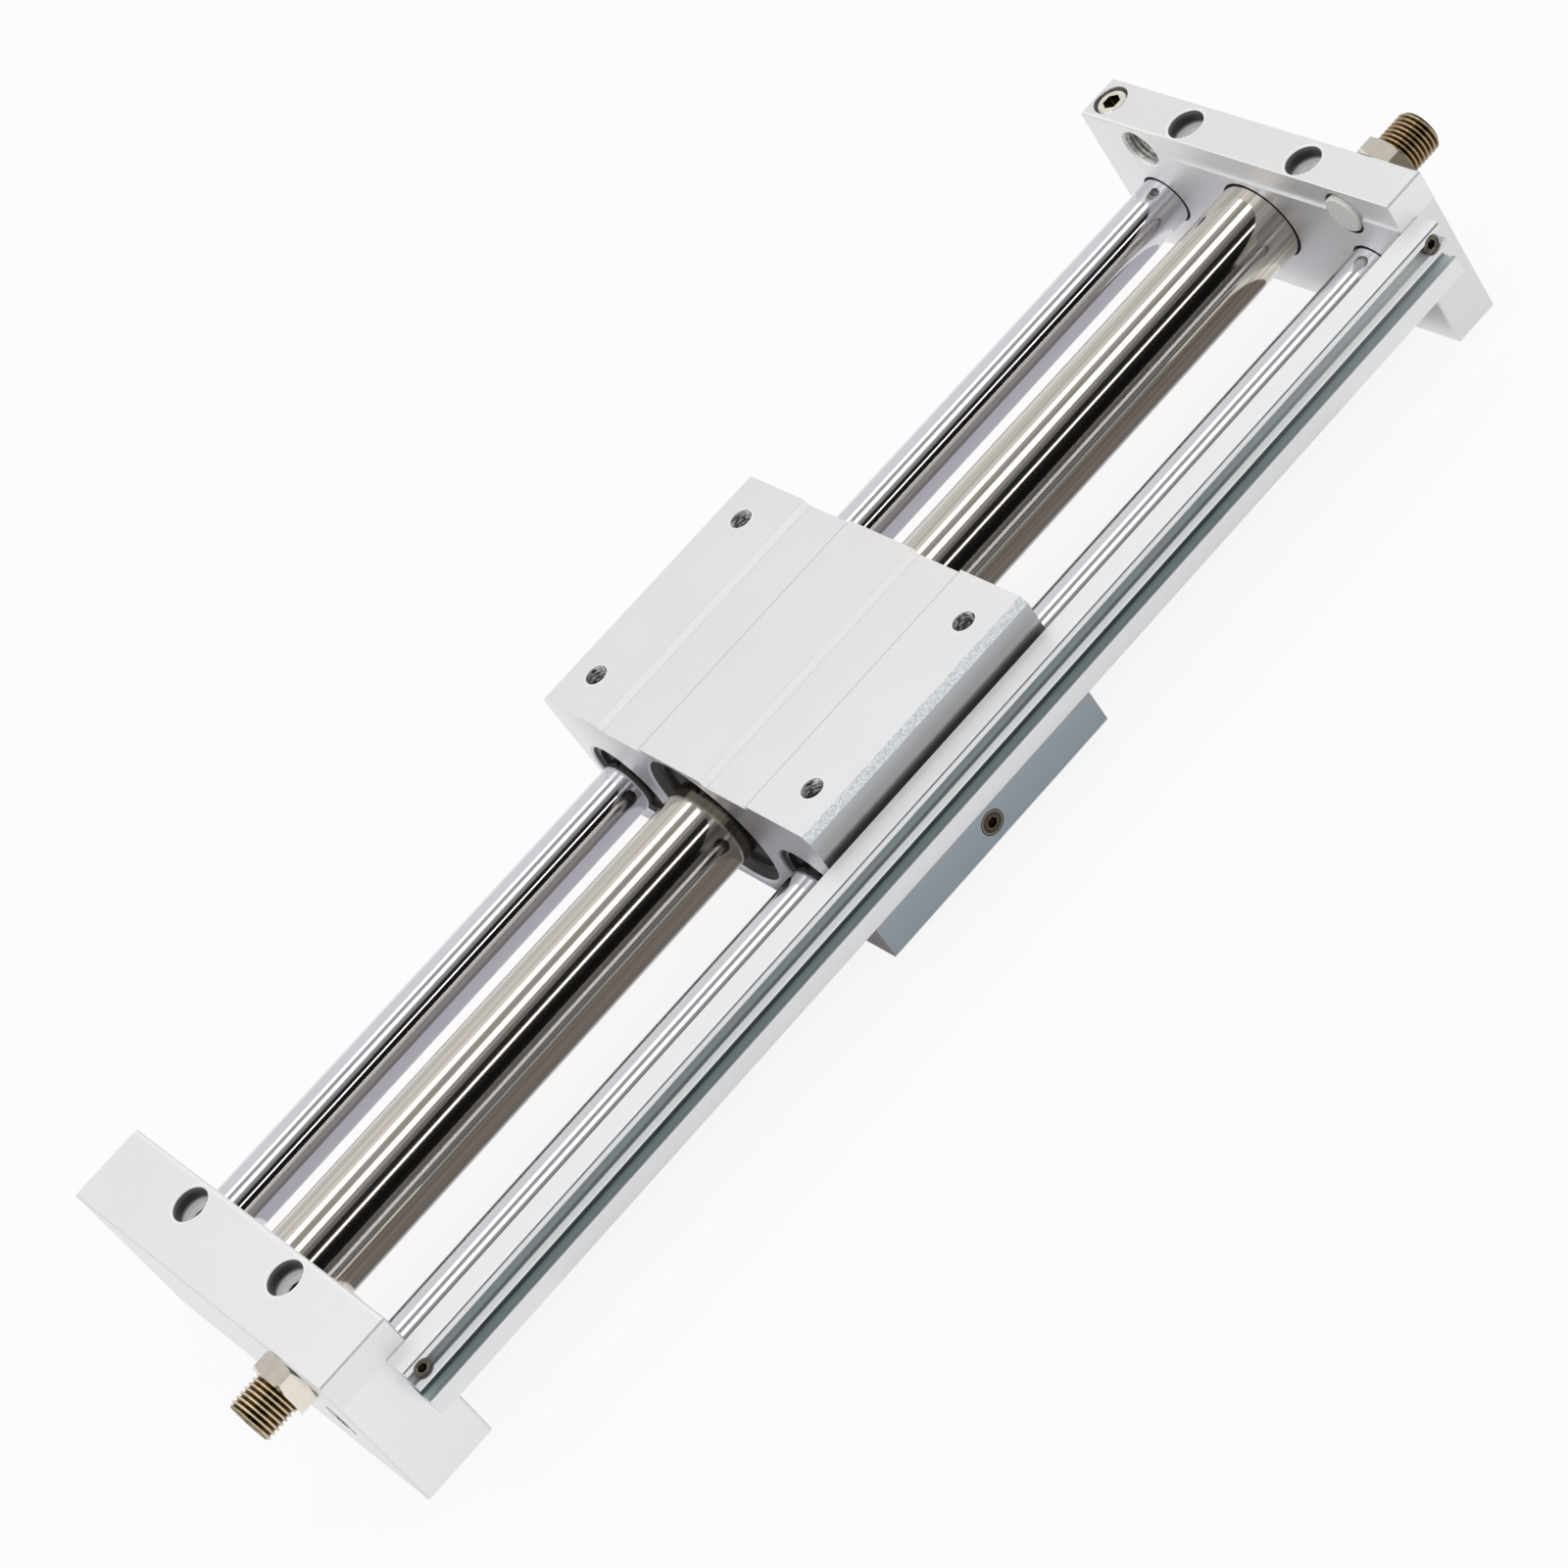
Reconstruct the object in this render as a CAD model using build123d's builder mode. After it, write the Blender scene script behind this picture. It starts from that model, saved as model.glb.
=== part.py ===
from build123d import *
import os

# A magnetically coupled rodless air cylinder of the guided slider type. Two end plates carry a thin
# tube and two guide shafts. A piston inside the tube drags the slide block along by magnets alone.
# X runs along the tube, from plate B to the ported plate A. Y points to the side without the switch
# rail. Z is up from the mounting face, and the origin is the centre of the four base bolts.

os.makedirs("parts", exist_ok=True)

# Driving sizes, in millimetres
stroke = 300.0
stroke_end_gap = 3.15
block_rest_offset = 7.6

tube_bore = 25.0
tube_wall = 0.7
tube_axis_height = 28.2
shaft_diameter = 16.0
shaft_side_inset = 19.7
shaft_axis_height = 23.0

plate_width = 128.0
plate_height = 52.0
plate_a_thickness = 14.8
plate_b_thickness = 24.0
plate_edge_break = 0.5

block_length = 86.0
block_side_gap = 2.0
block_height = 50.6
block_base_height = 2.2
block_edge_chamfer = 2.0
block_foot_chamfer = 1.0
recess_inner = 16.0
recess_outer = 33.2
recess_depth = 1.8
block_bore_break = 0.5

rail_thickness = 8.0
rail_height = 19.1
rail_base_height = 23.3
rail_overlap = 7.2

# Clearances, all radial
seat_clearance = 0.02
thread_clearance = 0.05
running_clearance = 0.05
seal_clearance = 0.03

# Base bolts, counterbored from the top of both plates
base_bolt_spacing = 49.0
base_bolt_inset = 7.2
base_bolt_hole = 6.6
base_counterbore = 11.0
base_counterbore_depth = 6.5
base_counterbore_break = 0.3

# Sockets of tube and shafts in the plates
tube_socket_depth = 7.5
shaft_socket_depth_a = 11.3
shaft_socket_depth_b = 16.0
solid_shaft_socket_depth_a = 6.8
seal_section = 2.0
seal_offset = 2.2
socket_lead = 0.6

# Screws that hold the solid shaft, and the grub screws that hold the hollow one
end_screw_thread = 6.0
end_screw_head = 10.0
end_screw_head_height = 4.0
end_screw_counterbore = 11.0
end_screw_counterbore_depth = 4.5
end_screw_engagement = 12.0
end_screw_hex = 4.0
end_screw_hex_depth = 2.2
grub_thread = 5.0
grub_length = 12.0
grub_hex = 2.5
grub_hex_depth = 2.5

# Air ports and passages
port_thread = 9.15
port_thread_depth = 7.0
port_mouth = 10.8
port_mouth_depth = 1.2
passage_diameter = 5.0
passage_height_b = 24.5
chamber_diameter = 8.0
chamber_depth_b = 20.5
top_port_inset = 6.5
cross_hole = 4.0
shaft_bore_overrun = 0.5
plug_top_drop = 0.6
plug_edge_chamfer = 0.3
plug_hex = 5.0
plug_hex_depth = 4.0
passage_plug_length = 5.0
passage_plug_thread = 6.0
passage_plug_hex = 3.0
passage_plug_hex_depth = 2.6
passage_plug_recess = 1.0

# Adjusting bolts, their lock nuts and soft tips
adjuster_thread = 13.8
adjuster_tap_drill = 12.4
adjuster_side_inset = 21.5
adjuster_top_inset = 8.5
adjuster_end_chamfer = 0.9
adjuster_reach_a = 18.5
adjuster_reach_b = 16.6
adjuster_hex = 6.0
adjuster_hex_depth = 6.0
bumper_diameter = 12.2
bumper_thickness = 3.0
bumper_stand = 0.6
bumper_stem = 6.0
bumper_stem_length = 5.0
lock_nut_width = 17.0
lock_nut_thickness = 6.0
lock_nut_corner_cut = 0.9
lock_nut_turn = 17.0

# Shallow relief milled along the inner face of plate A
relief_depth = 0.8
relief_height = 8.6
relief_start = 28.0
relief_runout = 9.0

# Slide block holes
table_bolt_spacing_x = 60.0
table_bolt_spacing_y = 100.0
table_tap_drill = 6.8
table_hole_depth = 13.0
side_screw_height = 9.2
side_screw_thread = 5.0
side_screw_head = 7.0
side_screw_head_height = 2.6
side_screw_length = 7.0
side_screw_hex = 3.0
side_screw_hex_depth = 1.8
switch_magnet_diameter = 6.0
switch_magnet_length = 4.5

# Ball bushings of the shafts
bushing_diameter = 28.0
bushing_gap = 6.2
bushing_shell = 2.0
bushing_inset = 3.0
bushing_seal_thickness = 1.6
bushing_track_width = 3.2
bushing_track_depth = 2.0
bushing_track_count = 5
clip_thickness = 1.5
clip_land = 1.4
clip_groove_depth = 0.8
clip_width = 1.8
clip_opening = 8.0

# Magnetic slider round the tube
slider_diameter = 46.0
slider_sleeve_wall = 2.0
slider_clip_thickness = 1.6
slider_clip_land = 3.0
slider_clip_groove_depth = 0.8
slider_clip_width = 2.6
scraper_thickness = 5.0
scraper_lip = 1.0
wear_ring_thickness = 1.5
wear_ring_width = 6.0
spacer_length = 9.9
magnet_count = 4
yoke_thickness = 3.0
yoke_gap = 0.6

# Piston train inside the tube
rod_diameter = 8.0
rod_end_stand = 0.5
piston_play = 0.35
magnet_play = 0.6
piston_length = 20.0
piston_ring_offset = 3.0
piston_ring_width = 5.0
piston_ring_thickness = 1.5
piston_seal_offset = 12.0
piston_seal_width = 3.2
piston_seal_height = 2.4
piston_nut_width = 13.0
piston_nut_thickness = 4.0
piston_bumper_diameter = 20.0
piston_bumper_bore = 15.8
piston_end_gap = 0.1

# Switch rail section and its two screws
rail_lip_top = 2.1
screw_slot_width = 3.8
screw_slot_depth = 3.6
rail_rib = 2.4
switch_slot_width = 4.8
switch_slot_depth = 5.2
switch_slot_undercut = 0.7
switch_slot_neck = 1.4
rail_screw_inset = 2.7
rail_screw_thread = 3.0
rail_screw_head = 5.4
rail_screw_head_height = 3.0
rail_screw_pocket = 6.0
rail_screw_reach = 8.0
rail_screw_hex = 2.5
rail_screw_hex_depth = 1.6

# Sizes that follow from the ones above
tube_diameter = tube_bore + 2 * tube_wall
plate_gap = stroke + block_length + 2 * stroke_end_gap
face_a = plate_gap / 2
face_b = -plate_gap / 2
outer_a = face_a + plate_a_thickness
outer_b = face_b - plate_b_thickness
base_bolt_a = face_a + base_bolt_inset
base_bolt_b = face_b - base_bolt_inset
side_left = plate_width / 2
side_right = -plate_width / 2
shaft_left = side_left - shaft_side_inset
shaft_right = side_right + shaft_side_inset
adjuster_left = side_left - adjuster_side_inset
adjuster_right = side_right + adjuster_side_inset
adjuster_height = plate_height - adjuster_top_inset
relief_floor_height = plate_height - relief_height
port_station = face_a + plate_a_thickness / 2
top_port_side = side_left - top_port_inset
passage_depth_b = shaft_socket_depth_b + passage_diameter / 2 + 0.1
block_rear = block_rest_offset - block_length / 2
block_front = block_rest_offset + block_length / 2
block_top = block_base_height + block_height
block_width = plate_width - 2 * block_side_gap
block_right = side_right + block_side_gap
clip_inner_face = clip_land + clip_thickness
bushing_length = block_length / 2 - clip_inner_face - bushing_gap / 2
slider_bore = slider_diameter + 2 * seat_clearance
bushing_seat_bore = bushing_diameter + 2 * seat_clearance
slider_half = block_length / 2 - slider_clip_land - slider_clip_thickness
sleeve_half = slider_half - scraper_thickness
stack_half = sleeve_half - spacer_length
magnet_thickness = (2 * stack_half - (magnet_count + 1) * yoke_thickness) / magnet_count
sleeve_bore = slider_diameter - 2 * slider_sleeve_wall
rail_base = side_right
rail_face = side_right - rail_thickness
rail_top = rail_base_height + rail_height
screw_slot_top = rail_top - rail_lip_top
screw_slot_middle = screw_slot_top - screw_slot_width / 2
switch_slot_top = screw_slot_top - screw_slot_width - rail_rib
piston_limit = plate_gap / 2 + tube_socket_depth - stroke / 2 - piston_end_gap


def turn(outline, y, z, mode=Mode.ADD):
    """Revolves an outline of (station, radius) points about a line along X at (y, z)."""
    place = Plane(origin=(0, y, z), x_dir=(1, 0, 0), z_dir=(0, -1, 0))
    with BuildSketch(place) as section:
        with BuildLine():
            Polyline(*outline, close=True)
        make_face()
    revolve(section.sketch, axis=Axis((0, y, z), (1, 0, 0)), mode=mode)


def ring(start, end, inner, outer, y, z, mode=Mode.ADD):
    """A turned ring between two stations, with its inner and outer diameter."""
    low, high = min(start, end), max(start, end)
    turn([(low, inner / 2), (high, inner / 2), (high, outer / 2), (low, outer / 2)], y, z, mode)


def bar(start, end, diameter, y, z, mode=Mode.ADD, break_start=0.0, break_end=0.0):
    """A turned solid bar between two stations, its end edges broken by a chamfer."""
    along = 1 if end > start else -1
    r = diameter / 2
    outline = [(start, 0)]
    if break_start:
        outline += [(start, r - break_start), (start + along * break_start, r)]
    else:
        outline.append((start, r))
    if break_end:
        outline += [(end - along * break_end, r), (end, r - break_end)]
    else:
        outline.append((end, r))
    outline.append((end, 0))
    turn(outline, y, z, mode)


def mouth_break(face, into, diameter, size, y, z):
    """Breaks the edge of a bore along X where it opens at the given face."""
    r = diameter / 2
    turn(
        [(face, r - size), (face, r + size), (face + into * size, r), (face + into * size, r - size)],
        y, z, Mode.SUBTRACT,
    )


def hex_pocket(place, width, depth):
    """Cuts a hexagon socket into the face that the plane lies on."""
    with BuildSketch(place) as socket:
        RegularPolygon(width / 2, 6, major_radius=False)
    extrude(socket.sketch, amount=-depth, mode=Mode.SUBTRACT)


def looking_along(direction, x, y, z):
    """A plane on a face at (x, y, z) whose normal is the given direction."""
    x_dir = (0, 1, 0) if abs(direction[0]) else (1, 0, 0)
    return Plane(origin=(x, y, z), x_dir=x_dir, z_dir=direction)


def plate_blank(inner, outer):
    """The sawn and machined slab of an end plate, with its edges broken."""
    with BuildSketch(Plane.YZ.offset(inner)) as slab:
        with Locations((0, plate_height / 2)):
            Rectangle(plate_width, plate_height)
    extrude(slab.sketch, amount=outer - inner)


def seal_groove(face, into, diameter, y, z):
    """The groove of a seal ring in a socket that opens at the given face."""
    near = face + into * seal_offset
    far = near + into * (seal_section + 0.4)
    ring(near, far, diameter, diameter + 2 * seal_section, y, z, Mode.SUBTRACT)


def seal_ring(face, into, diameter, y, z):
    """A round-section seal ring, centred in its groove round a tube or shaft."""
    wire = seal_section / 2 - seal_clearance
    middle = face + into * (seal_offset + seal_section / 2 + 0.2)
    place = Plane(origin=(0, y, z), x_dir=(1, 0, 0), z_dir=(0, -1, 0))
    with BuildSketch(place) as section:
        with Locations((middle, diameter / 2 + seal_section / 2)):
            Circle(wire)
    revolve(section.sketch, axis=Axis((0, y, z), (1, 0, 0)))


def base_holes(station):
    """Two counterbored mounting holes, drilled down through a plate."""
    for side in (-1, 1):
        with Locations(Plane(origin=(station, side * base_bolt_spacing / 2, plate_height))):
            CounterBoreHole(
                base_bolt_hole / 2, base_counterbore / 2, base_counterbore_depth, depth=plate_height
            )
            CounterSinkHole(
                base_bolt_hole / 2, base_counterbore / 2 + base_counterbore_break,
                depth=base_counterbore_depth, counter_sink_angle=90,
            )


def rail_thread(station):
    """The tapped hole of a rail screw in the side of a plate."""
    with Locations(looking_along((0, -1, 0), station, side_right, screw_slot_middle)):
        Hole(rail_screw_thread / 2 + thread_clearance, depth=rail_screw_reach + 1)


def adjuster_holes(inner, outer):
    """The tapped hole in use on the rail side, and the spare one on the other side."""
    low, high = min(inner, outer), max(inner, outer)
    lead = (adjuster_thread - adjuster_tap_drill) / 2
    used = adjuster_thread / 2 + thread_clearance
    turn(
        [(low, 0), (low, used), (high, used), (high, 0)],
        adjuster_right, adjuster_height, Mode.SUBTRACT,
    )
    spare = adjuster_tap_drill / 2
    turn(
        [
            (low, 0), (low, spare + lead), (low + lead, spare),
            (high - lead, spare), (high, spare + lead), (high, 0),
        ],
        adjuster_left, adjuster_height, Mode.SUBTRACT,
    )


# Plate A: ported aluminium plate at the far end
with BuildPart() as plate_a:
    plate_blank(face_a, outer_a)
    chamfer(plate_a.edges(), plate_edge_break)
    # Shallow relief along the top of the inner face, running out towards the left
    with BuildSketch(Plane.XY.offset(relief_floor_height)) as relief:
        with BuildLine():
            Polyline(
                (face_a, side_right), (face_a + relief_depth, side_right),
                (face_a + relief_depth, relief_start), (face_a, relief_start + relief_runout),
                close=True,
            )
        make_face()
    extrude(relief.sketch, amount=plate_height - relief_floor_height, mode=Mode.SUBTRACT)
    # Tube socket, with the axial port behind it
    tube_seat = tube_diameter + 2 * seat_clearance
    bar(face_a, face_a + tube_socket_depth, tube_seat, 0, tube_axis_height, Mode.SUBTRACT)
    seal_groove(face_a, 1, tube_seat, 0, tube_axis_height)
    mouth_break(face_a, 1, tube_seat, socket_lead, 0, tube_axis_height)
    bar(face_a, outer_a, port_thread, 0, tube_axis_height, Mode.SUBTRACT)
    # Shaft sockets, the hollow shaft's with a seal
    shaft_seat = shaft_diameter + 2 * seat_clearance
    bar(face_a, face_a + shaft_socket_depth_a, shaft_seat, shaft_left, shaft_axis_height, Mode.SUBTRACT)
    seal_groove(face_a, 1, shaft_seat, shaft_left, shaft_axis_height)
    bar(
        face_a, face_a + solid_shaft_socket_depth_a, shaft_seat,
        shaft_right, shaft_axis_height, Mode.SUBTRACT,
    )
    for side in (shaft_left, shaft_right):
        mouth_break(face_a, 1, shaft_seat, socket_lead, side, shaft_axis_height)
    with Locations(looking_along((1, 0, 0), outer_a, shaft_right, shaft_axis_height)):
        CounterBoreHole(
            end_screw_thread / 2 + 2 * thread_clearance, end_screw_counterbore / 2,
            end_screw_counterbore_depth, depth=plate_a_thickness,
        )
    # Side port into the hollow shaft, and the plugged port from the top
    with Locations(looking_along((0, 1, 0), port_station, side_left, shaft_axis_height)):
        Hole(port_thread / 2, depth=port_thread_depth)
        Hole(passage_diameter / 2, depth=side_left - shaft_left)
    with Locations(Plane(origin=(port_station, top_port_side, plate_height))):
        CounterBoreHole(
            port_thread / 2, port_mouth / 2, port_mouth_depth,
            depth=plug_top_drop + port_thread_depth,
        )
        Hole(passage_diameter / 2, depth=plate_height - shaft_axis_height)
    with Locations(looking_along((0, 0, -1), port_station, shaft_left, 0)):
        Hole(grub_thread / 2 + thread_clearance, depth=shaft_axis_height)
    adjuster_holes(face_a, outer_a)
    base_holes(base_bolt_a)
    rail_thread(face_a + rail_screw_inset)
plate_a.part.label = "plate_a"
export_step(plate_a.part, "parts/plate_a.step")

# Plate B: the thicker blank plate at the near end, with the passage that feeds the tube's far side
with BuildPart() as plate_b:
    plate_blank(face_b, outer_b)
    chamfer(plate_b.edges(), plate_edge_break)
    bar(face_b, face_b - tube_socket_depth, tube_seat, 0, tube_axis_height, Mode.SUBTRACT)
    seal_groove(face_b, -1, tube_seat, 0, tube_axis_height)
    mouth_break(face_b, -1, tube_seat, socket_lead, 0, tube_axis_height)
    bar(face_b, face_b - chamber_depth_b, chamber_diameter, 0, tube_axis_height, Mode.SUBTRACT)
    for side in (shaft_left, shaft_right):
        bar(face_b, face_b - shaft_socket_depth_b, shaft_seat, side, shaft_axis_height, Mode.SUBTRACT)
        mouth_break(face_b, -1, shaft_seat, socket_lead, side, shaft_axis_height)
    seal_groove(face_b, -1, shaft_seat, shaft_left, shaft_axis_height)
    bar(face_b, face_b - chamber_depth_b, chamber_diameter, shaft_left, shaft_axis_height, Mode.SUBTRACT)
    with Locations(looking_along((-1, 0, 0), outer_b, shaft_right, shaft_axis_height)):
        CounterBoreHole(
            end_screw_thread / 2 + 2 * thread_clearance, end_screw_counterbore / 2,
            end_screw_counterbore_depth, depth=plate_b_thickness,
        )
    # Cross passage from the left side, past the hollow shaft to the tube, closed by a screw plug
    with Locations(looking_along((0, 1, 0), face_b - passage_depth_b, side_left, passage_height_b)):
        Hole(passage_diameter / 2, depth=side_left)
        Hole(passage_plug_thread / 2 + seat_clearance, depth=passage_plug_length + passage_plug_recess)
    with Locations(looking_along((0, 0, -1), face_b - base_bolt_inset, shaft_left, 0)):
        Hole(grub_thread / 2 + thread_clearance, depth=shaft_axis_height)
    adjuster_holes(face_b, outer_b)
    base_holes(base_bolt_b)
    rail_thread(face_b - rail_screw_inset)
plate_b.part.label = "plate_b"
export_step(plate_b.part, "parts/plate_b.step")

# The thin non-magnetic tube that the piston runs in
tube_end_a = face_a + tube_socket_depth
tube_end_b = face_b - tube_socket_depth
with BuildPart() as cylinder_tube:
    ring(tube_end_b, tube_end_a, tube_bore, tube_diameter, 0, tube_axis_height)
cylinder_tube.part.label = "cylinder_tube"
export_step(cylinder_tube.part, "parts/cylinder_tube.step")

# Left guide shaft: hollow, so that it carries the air to plate B
hollow_start = face_b - shaft_socket_depth_b
hollow_end = face_a + shaft_socket_depth_a
shaft_break = 0.8
with BuildPart() as guide_shaft_left:
    bar(
        hollow_start, hollow_end, shaft_diameter, shaft_left, shaft_axis_height,
        break_start=shaft_break, break_end=shaft_break,
    )
    bar(
        hollow_start, port_station + cross_hole / 2 + shaft_bore_overrun, passage_diameter,
        shaft_left, shaft_axis_height, Mode.SUBTRACT,
    )
    shaft_flank = shaft_left + shaft_diameter / 2
    with Locations(looking_along((0, 1, 0), port_station, shaft_flank, shaft_axis_height)):
        Hole(cross_hole / 2, depth=shaft_diameter / 2)
guide_shaft_left.part.label = "guide_shaft_left"
export_step(guide_shaft_left.part, "parts/guide_shaft_left.step")

# Right guide shaft: solid, with a tapped hole in each end
solid_start = face_b - shaft_socket_depth_b
solid_end = face_a + solid_shaft_socket_depth_a
with BuildPart() as guide_shaft_right:
    bar(
        solid_start, solid_end, shaft_diameter, shaft_right, shaft_axis_height,
        break_start=shaft_break, break_end=shaft_break,
    )
    tapped = end_screw_thread + 2 * thread_clearance
    tap_depth = end_screw_engagement + 2
    bar(solid_start, solid_start + tap_depth, tapped, shaft_right, shaft_axis_height, Mode.SUBTRACT)
    bar(solid_end, solid_end - tap_depth, tapped, shaft_right, shaft_axis_height, Mode.SUBTRACT)
guide_shaft_right.part.label = "guide_shaft_right"
export_step(guide_shaft_right.part, "parts/guide_shaft_right.step")


def end_screw(outer, into, shaft_end):
    """A low-head socket screw through a plate into the end of the solid shaft."""
    under_head = outer + into * end_screw_counterbore_depth
    top = under_head - into * end_screw_head_height
    tip = shaft_end + into * end_screw_engagement
    bar(under_head, top, end_screw_head, shaft_right, shaft_axis_height, break_end=0.4)
    bar(under_head, tip, end_screw_thread, shaft_right, shaft_axis_height, break_end=0.5)
    place = looking_along((-into, 0, 0), top, shaft_right, shaft_axis_height)
    hex_pocket(place, end_screw_hex, end_screw_hex_depth)


with BuildPart() as shaft_end_screws:
    end_screw(outer_a, -1, solid_end)
    end_screw(outer_b, 1, solid_start)
shaft_end_screws.part.label = "shaft_end_screws"
export_step(shaft_end_screws.part, "parts/shaft_end_screws.step")

# Grub screws that clamp the hollow shaft from below
grub_top = shaft_axis_height - shaft_diameter / 2
with BuildPart() as shaft_grub_screws:
    for station in (port_station, face_b - base_bolt_inset):
        with Locations((station, shaft_left, grub_top - grub_length / 2)):
            Cylinder(grub_thread / 2, grub_length)
        hex_pocket(
            looking_along((0, 0, -1), station, shaft_left, grub_top - grub_length),
            grub_hex, grub_hex_depth,
        )
shaft_grub_screws.part.label = "shaft_grub_screws"
export_step(shaft_grub_screws.part, "parts/shaft_grub_screws.step")

# Seal rings of the tube and of the hollow shaft
with BuildPart() as tube_seal_rings:
    seal_ring(face_a, 1, tube_seat, 0, tube_axis_height)
    seal_ring(face_b, -1, tube_seat, 0, tube_axis_height)
tube_seal_rings.part.label = "tube_seal_rings"
export_step(tube_seal_rings.part, "parts/tube_seal_rings.step")

with BuildPart() as shaft_seal_rings:
    seal_ring(face_a, 1, shaft_seat, shaft_left, shaft_axis_height)
    seal_ring(face_b, -1, shaft_seat, shaft_left, shaft_axis_height)
shaft_seal_rings.part.label = "shaft_seal_rings"
export_step(shaft_seal_rings.part, "parts/shaft_seal_rings.step")

# Brass hexagon socket plug in the top port of plate A
plug_top = plate_height - plug_top_drop
plug_radius = port_thread / 2 - seat_clearance
plug_profile = Plane(origin=(port_station, top_port_side, 0), x_dir=(1, 0, 0), z_dir=(0, -1, 0))
with BuildPart() as top_pipe_plug:
    with BuildSketch(plug_profile):
        with BuildLine():
            Polyline(
                (0, plug_top - port_thread_depth), (plug_radius, plug_top - port_thread_depth),
                (plug_radius, plug_top - plug_edge_chamfer),
                (plug_radius - plug_edge_chamfer, plug_top), (0, plug_top), close=True,
            )
        make_face()
    revolve(axis=Axis((port_station, top_port_side, 0), (0, 0, 1)))
    hex_pocket(Plane(origin=(port_station, top_port_side, plug_top)), plug_hex, plug_hex_depth)
top_pipe_plug.part.label = "top_pipe_plug"
export_step(top_pipe_plug.part, "parts/top_pipe_plug.step")

# Screw plug that closes the cross passage of plate B
with BuildPart() as passage_plug:
    passage_mouth = looking_along(
        (0, 1, 0), face_b - passage_depth_b, side_left - passage_plug_recess, passage_height_b
    )
    with BuildSketch(passage_mouth):
        Circle(passage_plug_thread / 2)
    extrude(amount=-passage_plug_length)
    hex_pocket(passage_mouth, passage_plug_hex, passage_plug_hex_depth)
passage_plug.part.label = "passage_plug"
export_step(passage_plug.part, "parts/passage_plug.step")


# Switch rail: an extrusion with a screw slot above and a switch slot below
with BuildPart() as switch_rail:
    with BuildSketch(Plane.YZ.offset(face_b - rail_overlap)) as rail_section:
        with Locations((rail_base - rail_thickness / 2, rail_base_height + rail_height / 2)):
            Rectangle(rail_thickness, rail_height)
        chamfer(rail_section.vertices(), 0.3)
        with Locations((rail_face + screw_slot_depth / 2, screw_slot_middle)):
            Rectangle(screw_slot_depth, screw_slot_width, mode=Mode.SUBTRACT)
        switch_slot_middle = switch_slot_top - switch_slot_width / 2
        with Locations((rail_face + switch_slot_depth / 2, switch_slot_middle)):
            Rectangle(switch_slot_depth, switch_slot_width, mode=Mode.SUBTRACT)
        undercut_depth = switch_slot_depth - switch_slot_neck
        with Locations((rail_face + switch_slot_depth - undercut_depth / 2, switch_slot_middle)):
            Rectangle(
                undercut_depth, switch_slot_width + 2 * switch_slot_undercut, mode=Mode.SUBTRACT
            )
    extrude(amount=plate_gap + 2 * rail_overlap)
    for station in (face_a + rail_screw_inset, face_b - rail_screw_inset):
        with Locations(looking_along((0, -1, 0), station, rail_face, screw_slot_middle)):
            CounterBoreHole(
                rail_screw_thread / 2 + 2 * thread_clearance, rail_screw_pocket / 2,
                screw_slot_depth, depth=rail_thickness,
            )
switch_rail.part.label = "switch_rail"
export_step(switch_rail.part, "parts/switch_rail.step")

with BuildPart() as rail_screws:
    for station in (face_a + rail_screw_inset, face_b - rail_screw_inset):
        seat = looking_along((0, -1, 0), station, rail_face + screw_slot_depth, screw_slot_middle)
        with BuildSketch(seat):
            Circle(rail_screw_head / 2)
        extrude(amount=rail_screw_head_height)
        with BuildSketch(seat):
            Circle(rail_screw_thread / 2)
        extrude(amount=-(rail_thickness - screw_slot_depth + rail_screw_reach))
        hex_pocket(seat.offset(rail_screw_head_height), rail_screw_hex, rail_screw_hex_depth)
rail_screws.part.label = "rail_screws"
export_step(rail_screws.part, "parts/rail_screws.step")


def adjusting_bolt(inner, outer, into):
    """A fully threaded stud, with a hexagon socket outside and a bore for its soft tip inside."""
    tip = inner - into * (bumper_stand - bumper_thickness)
    end = outer
    bar(
        tip, end, adjuster_thread, adjuster_right, adjuster_height,
        break_start=adjuster_end_chamfer, break_end=adjuster_end_chamfer,
    )
    bar(
        tip, tip + into * (bumper_stem_length + 1), bumper_stem + 2 * seat_clearance,
        adjuster_right, adjuster_height, Mode.SUBTRACT,
    )
    place = looking_along((into, 0, 0), end, adjuster_right, adjuster_height)
    hex_pocket(place, adjuster_hex, adjuster_hex_depth)


def bumper(inner, into):
    """The soft tip of an adjusting bolt: a disc with a stem in the bolt's bore."""
    front = inner - into * bumper_stand
    back = front + into * bumper_thickness
    bar(front, back, bumper_diameter, adjuster_right, adjuster_height, break_start=0.5)
    bar(back, back + into * bumper_stem_length, bumper_stem, adjuster_right, adjuster_height)


def lock_nut(face, out):
    """A thin hexagon nut against a plate, its corners turned off on both sides."""
    with BuildSketch(Plane.YZ.offset(face)) as nut_outline:
        with Locations((adjuster_right, adjuster_height)):
            RegularPolygon(lock_nut_width / 2, 6, major_radius=False, rotation=lock_nut_turn)
            Circle(adjuster_thread / 2 + thread_clearance, mode=Mode.SUBTRACT)
    extrude(nut_outline.sketch, amount=out * lock_nut_thickness)
    far = face + out * lock_nut_thickness
    corner = lock_nut_width / 2 / 0.866
    flat = lock_nut_width / 2
    for end, towards in ((face, out), (far, -out)):
        cut = towards * lock_nut_corner_cut
        turn(
            [(end, flat), (end, corner + 1), (end + cut, corner + 1), (end + cut, corner)],
            adjuster_right, adjuster_height, Mode.SUBTRACT,
        )


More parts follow.
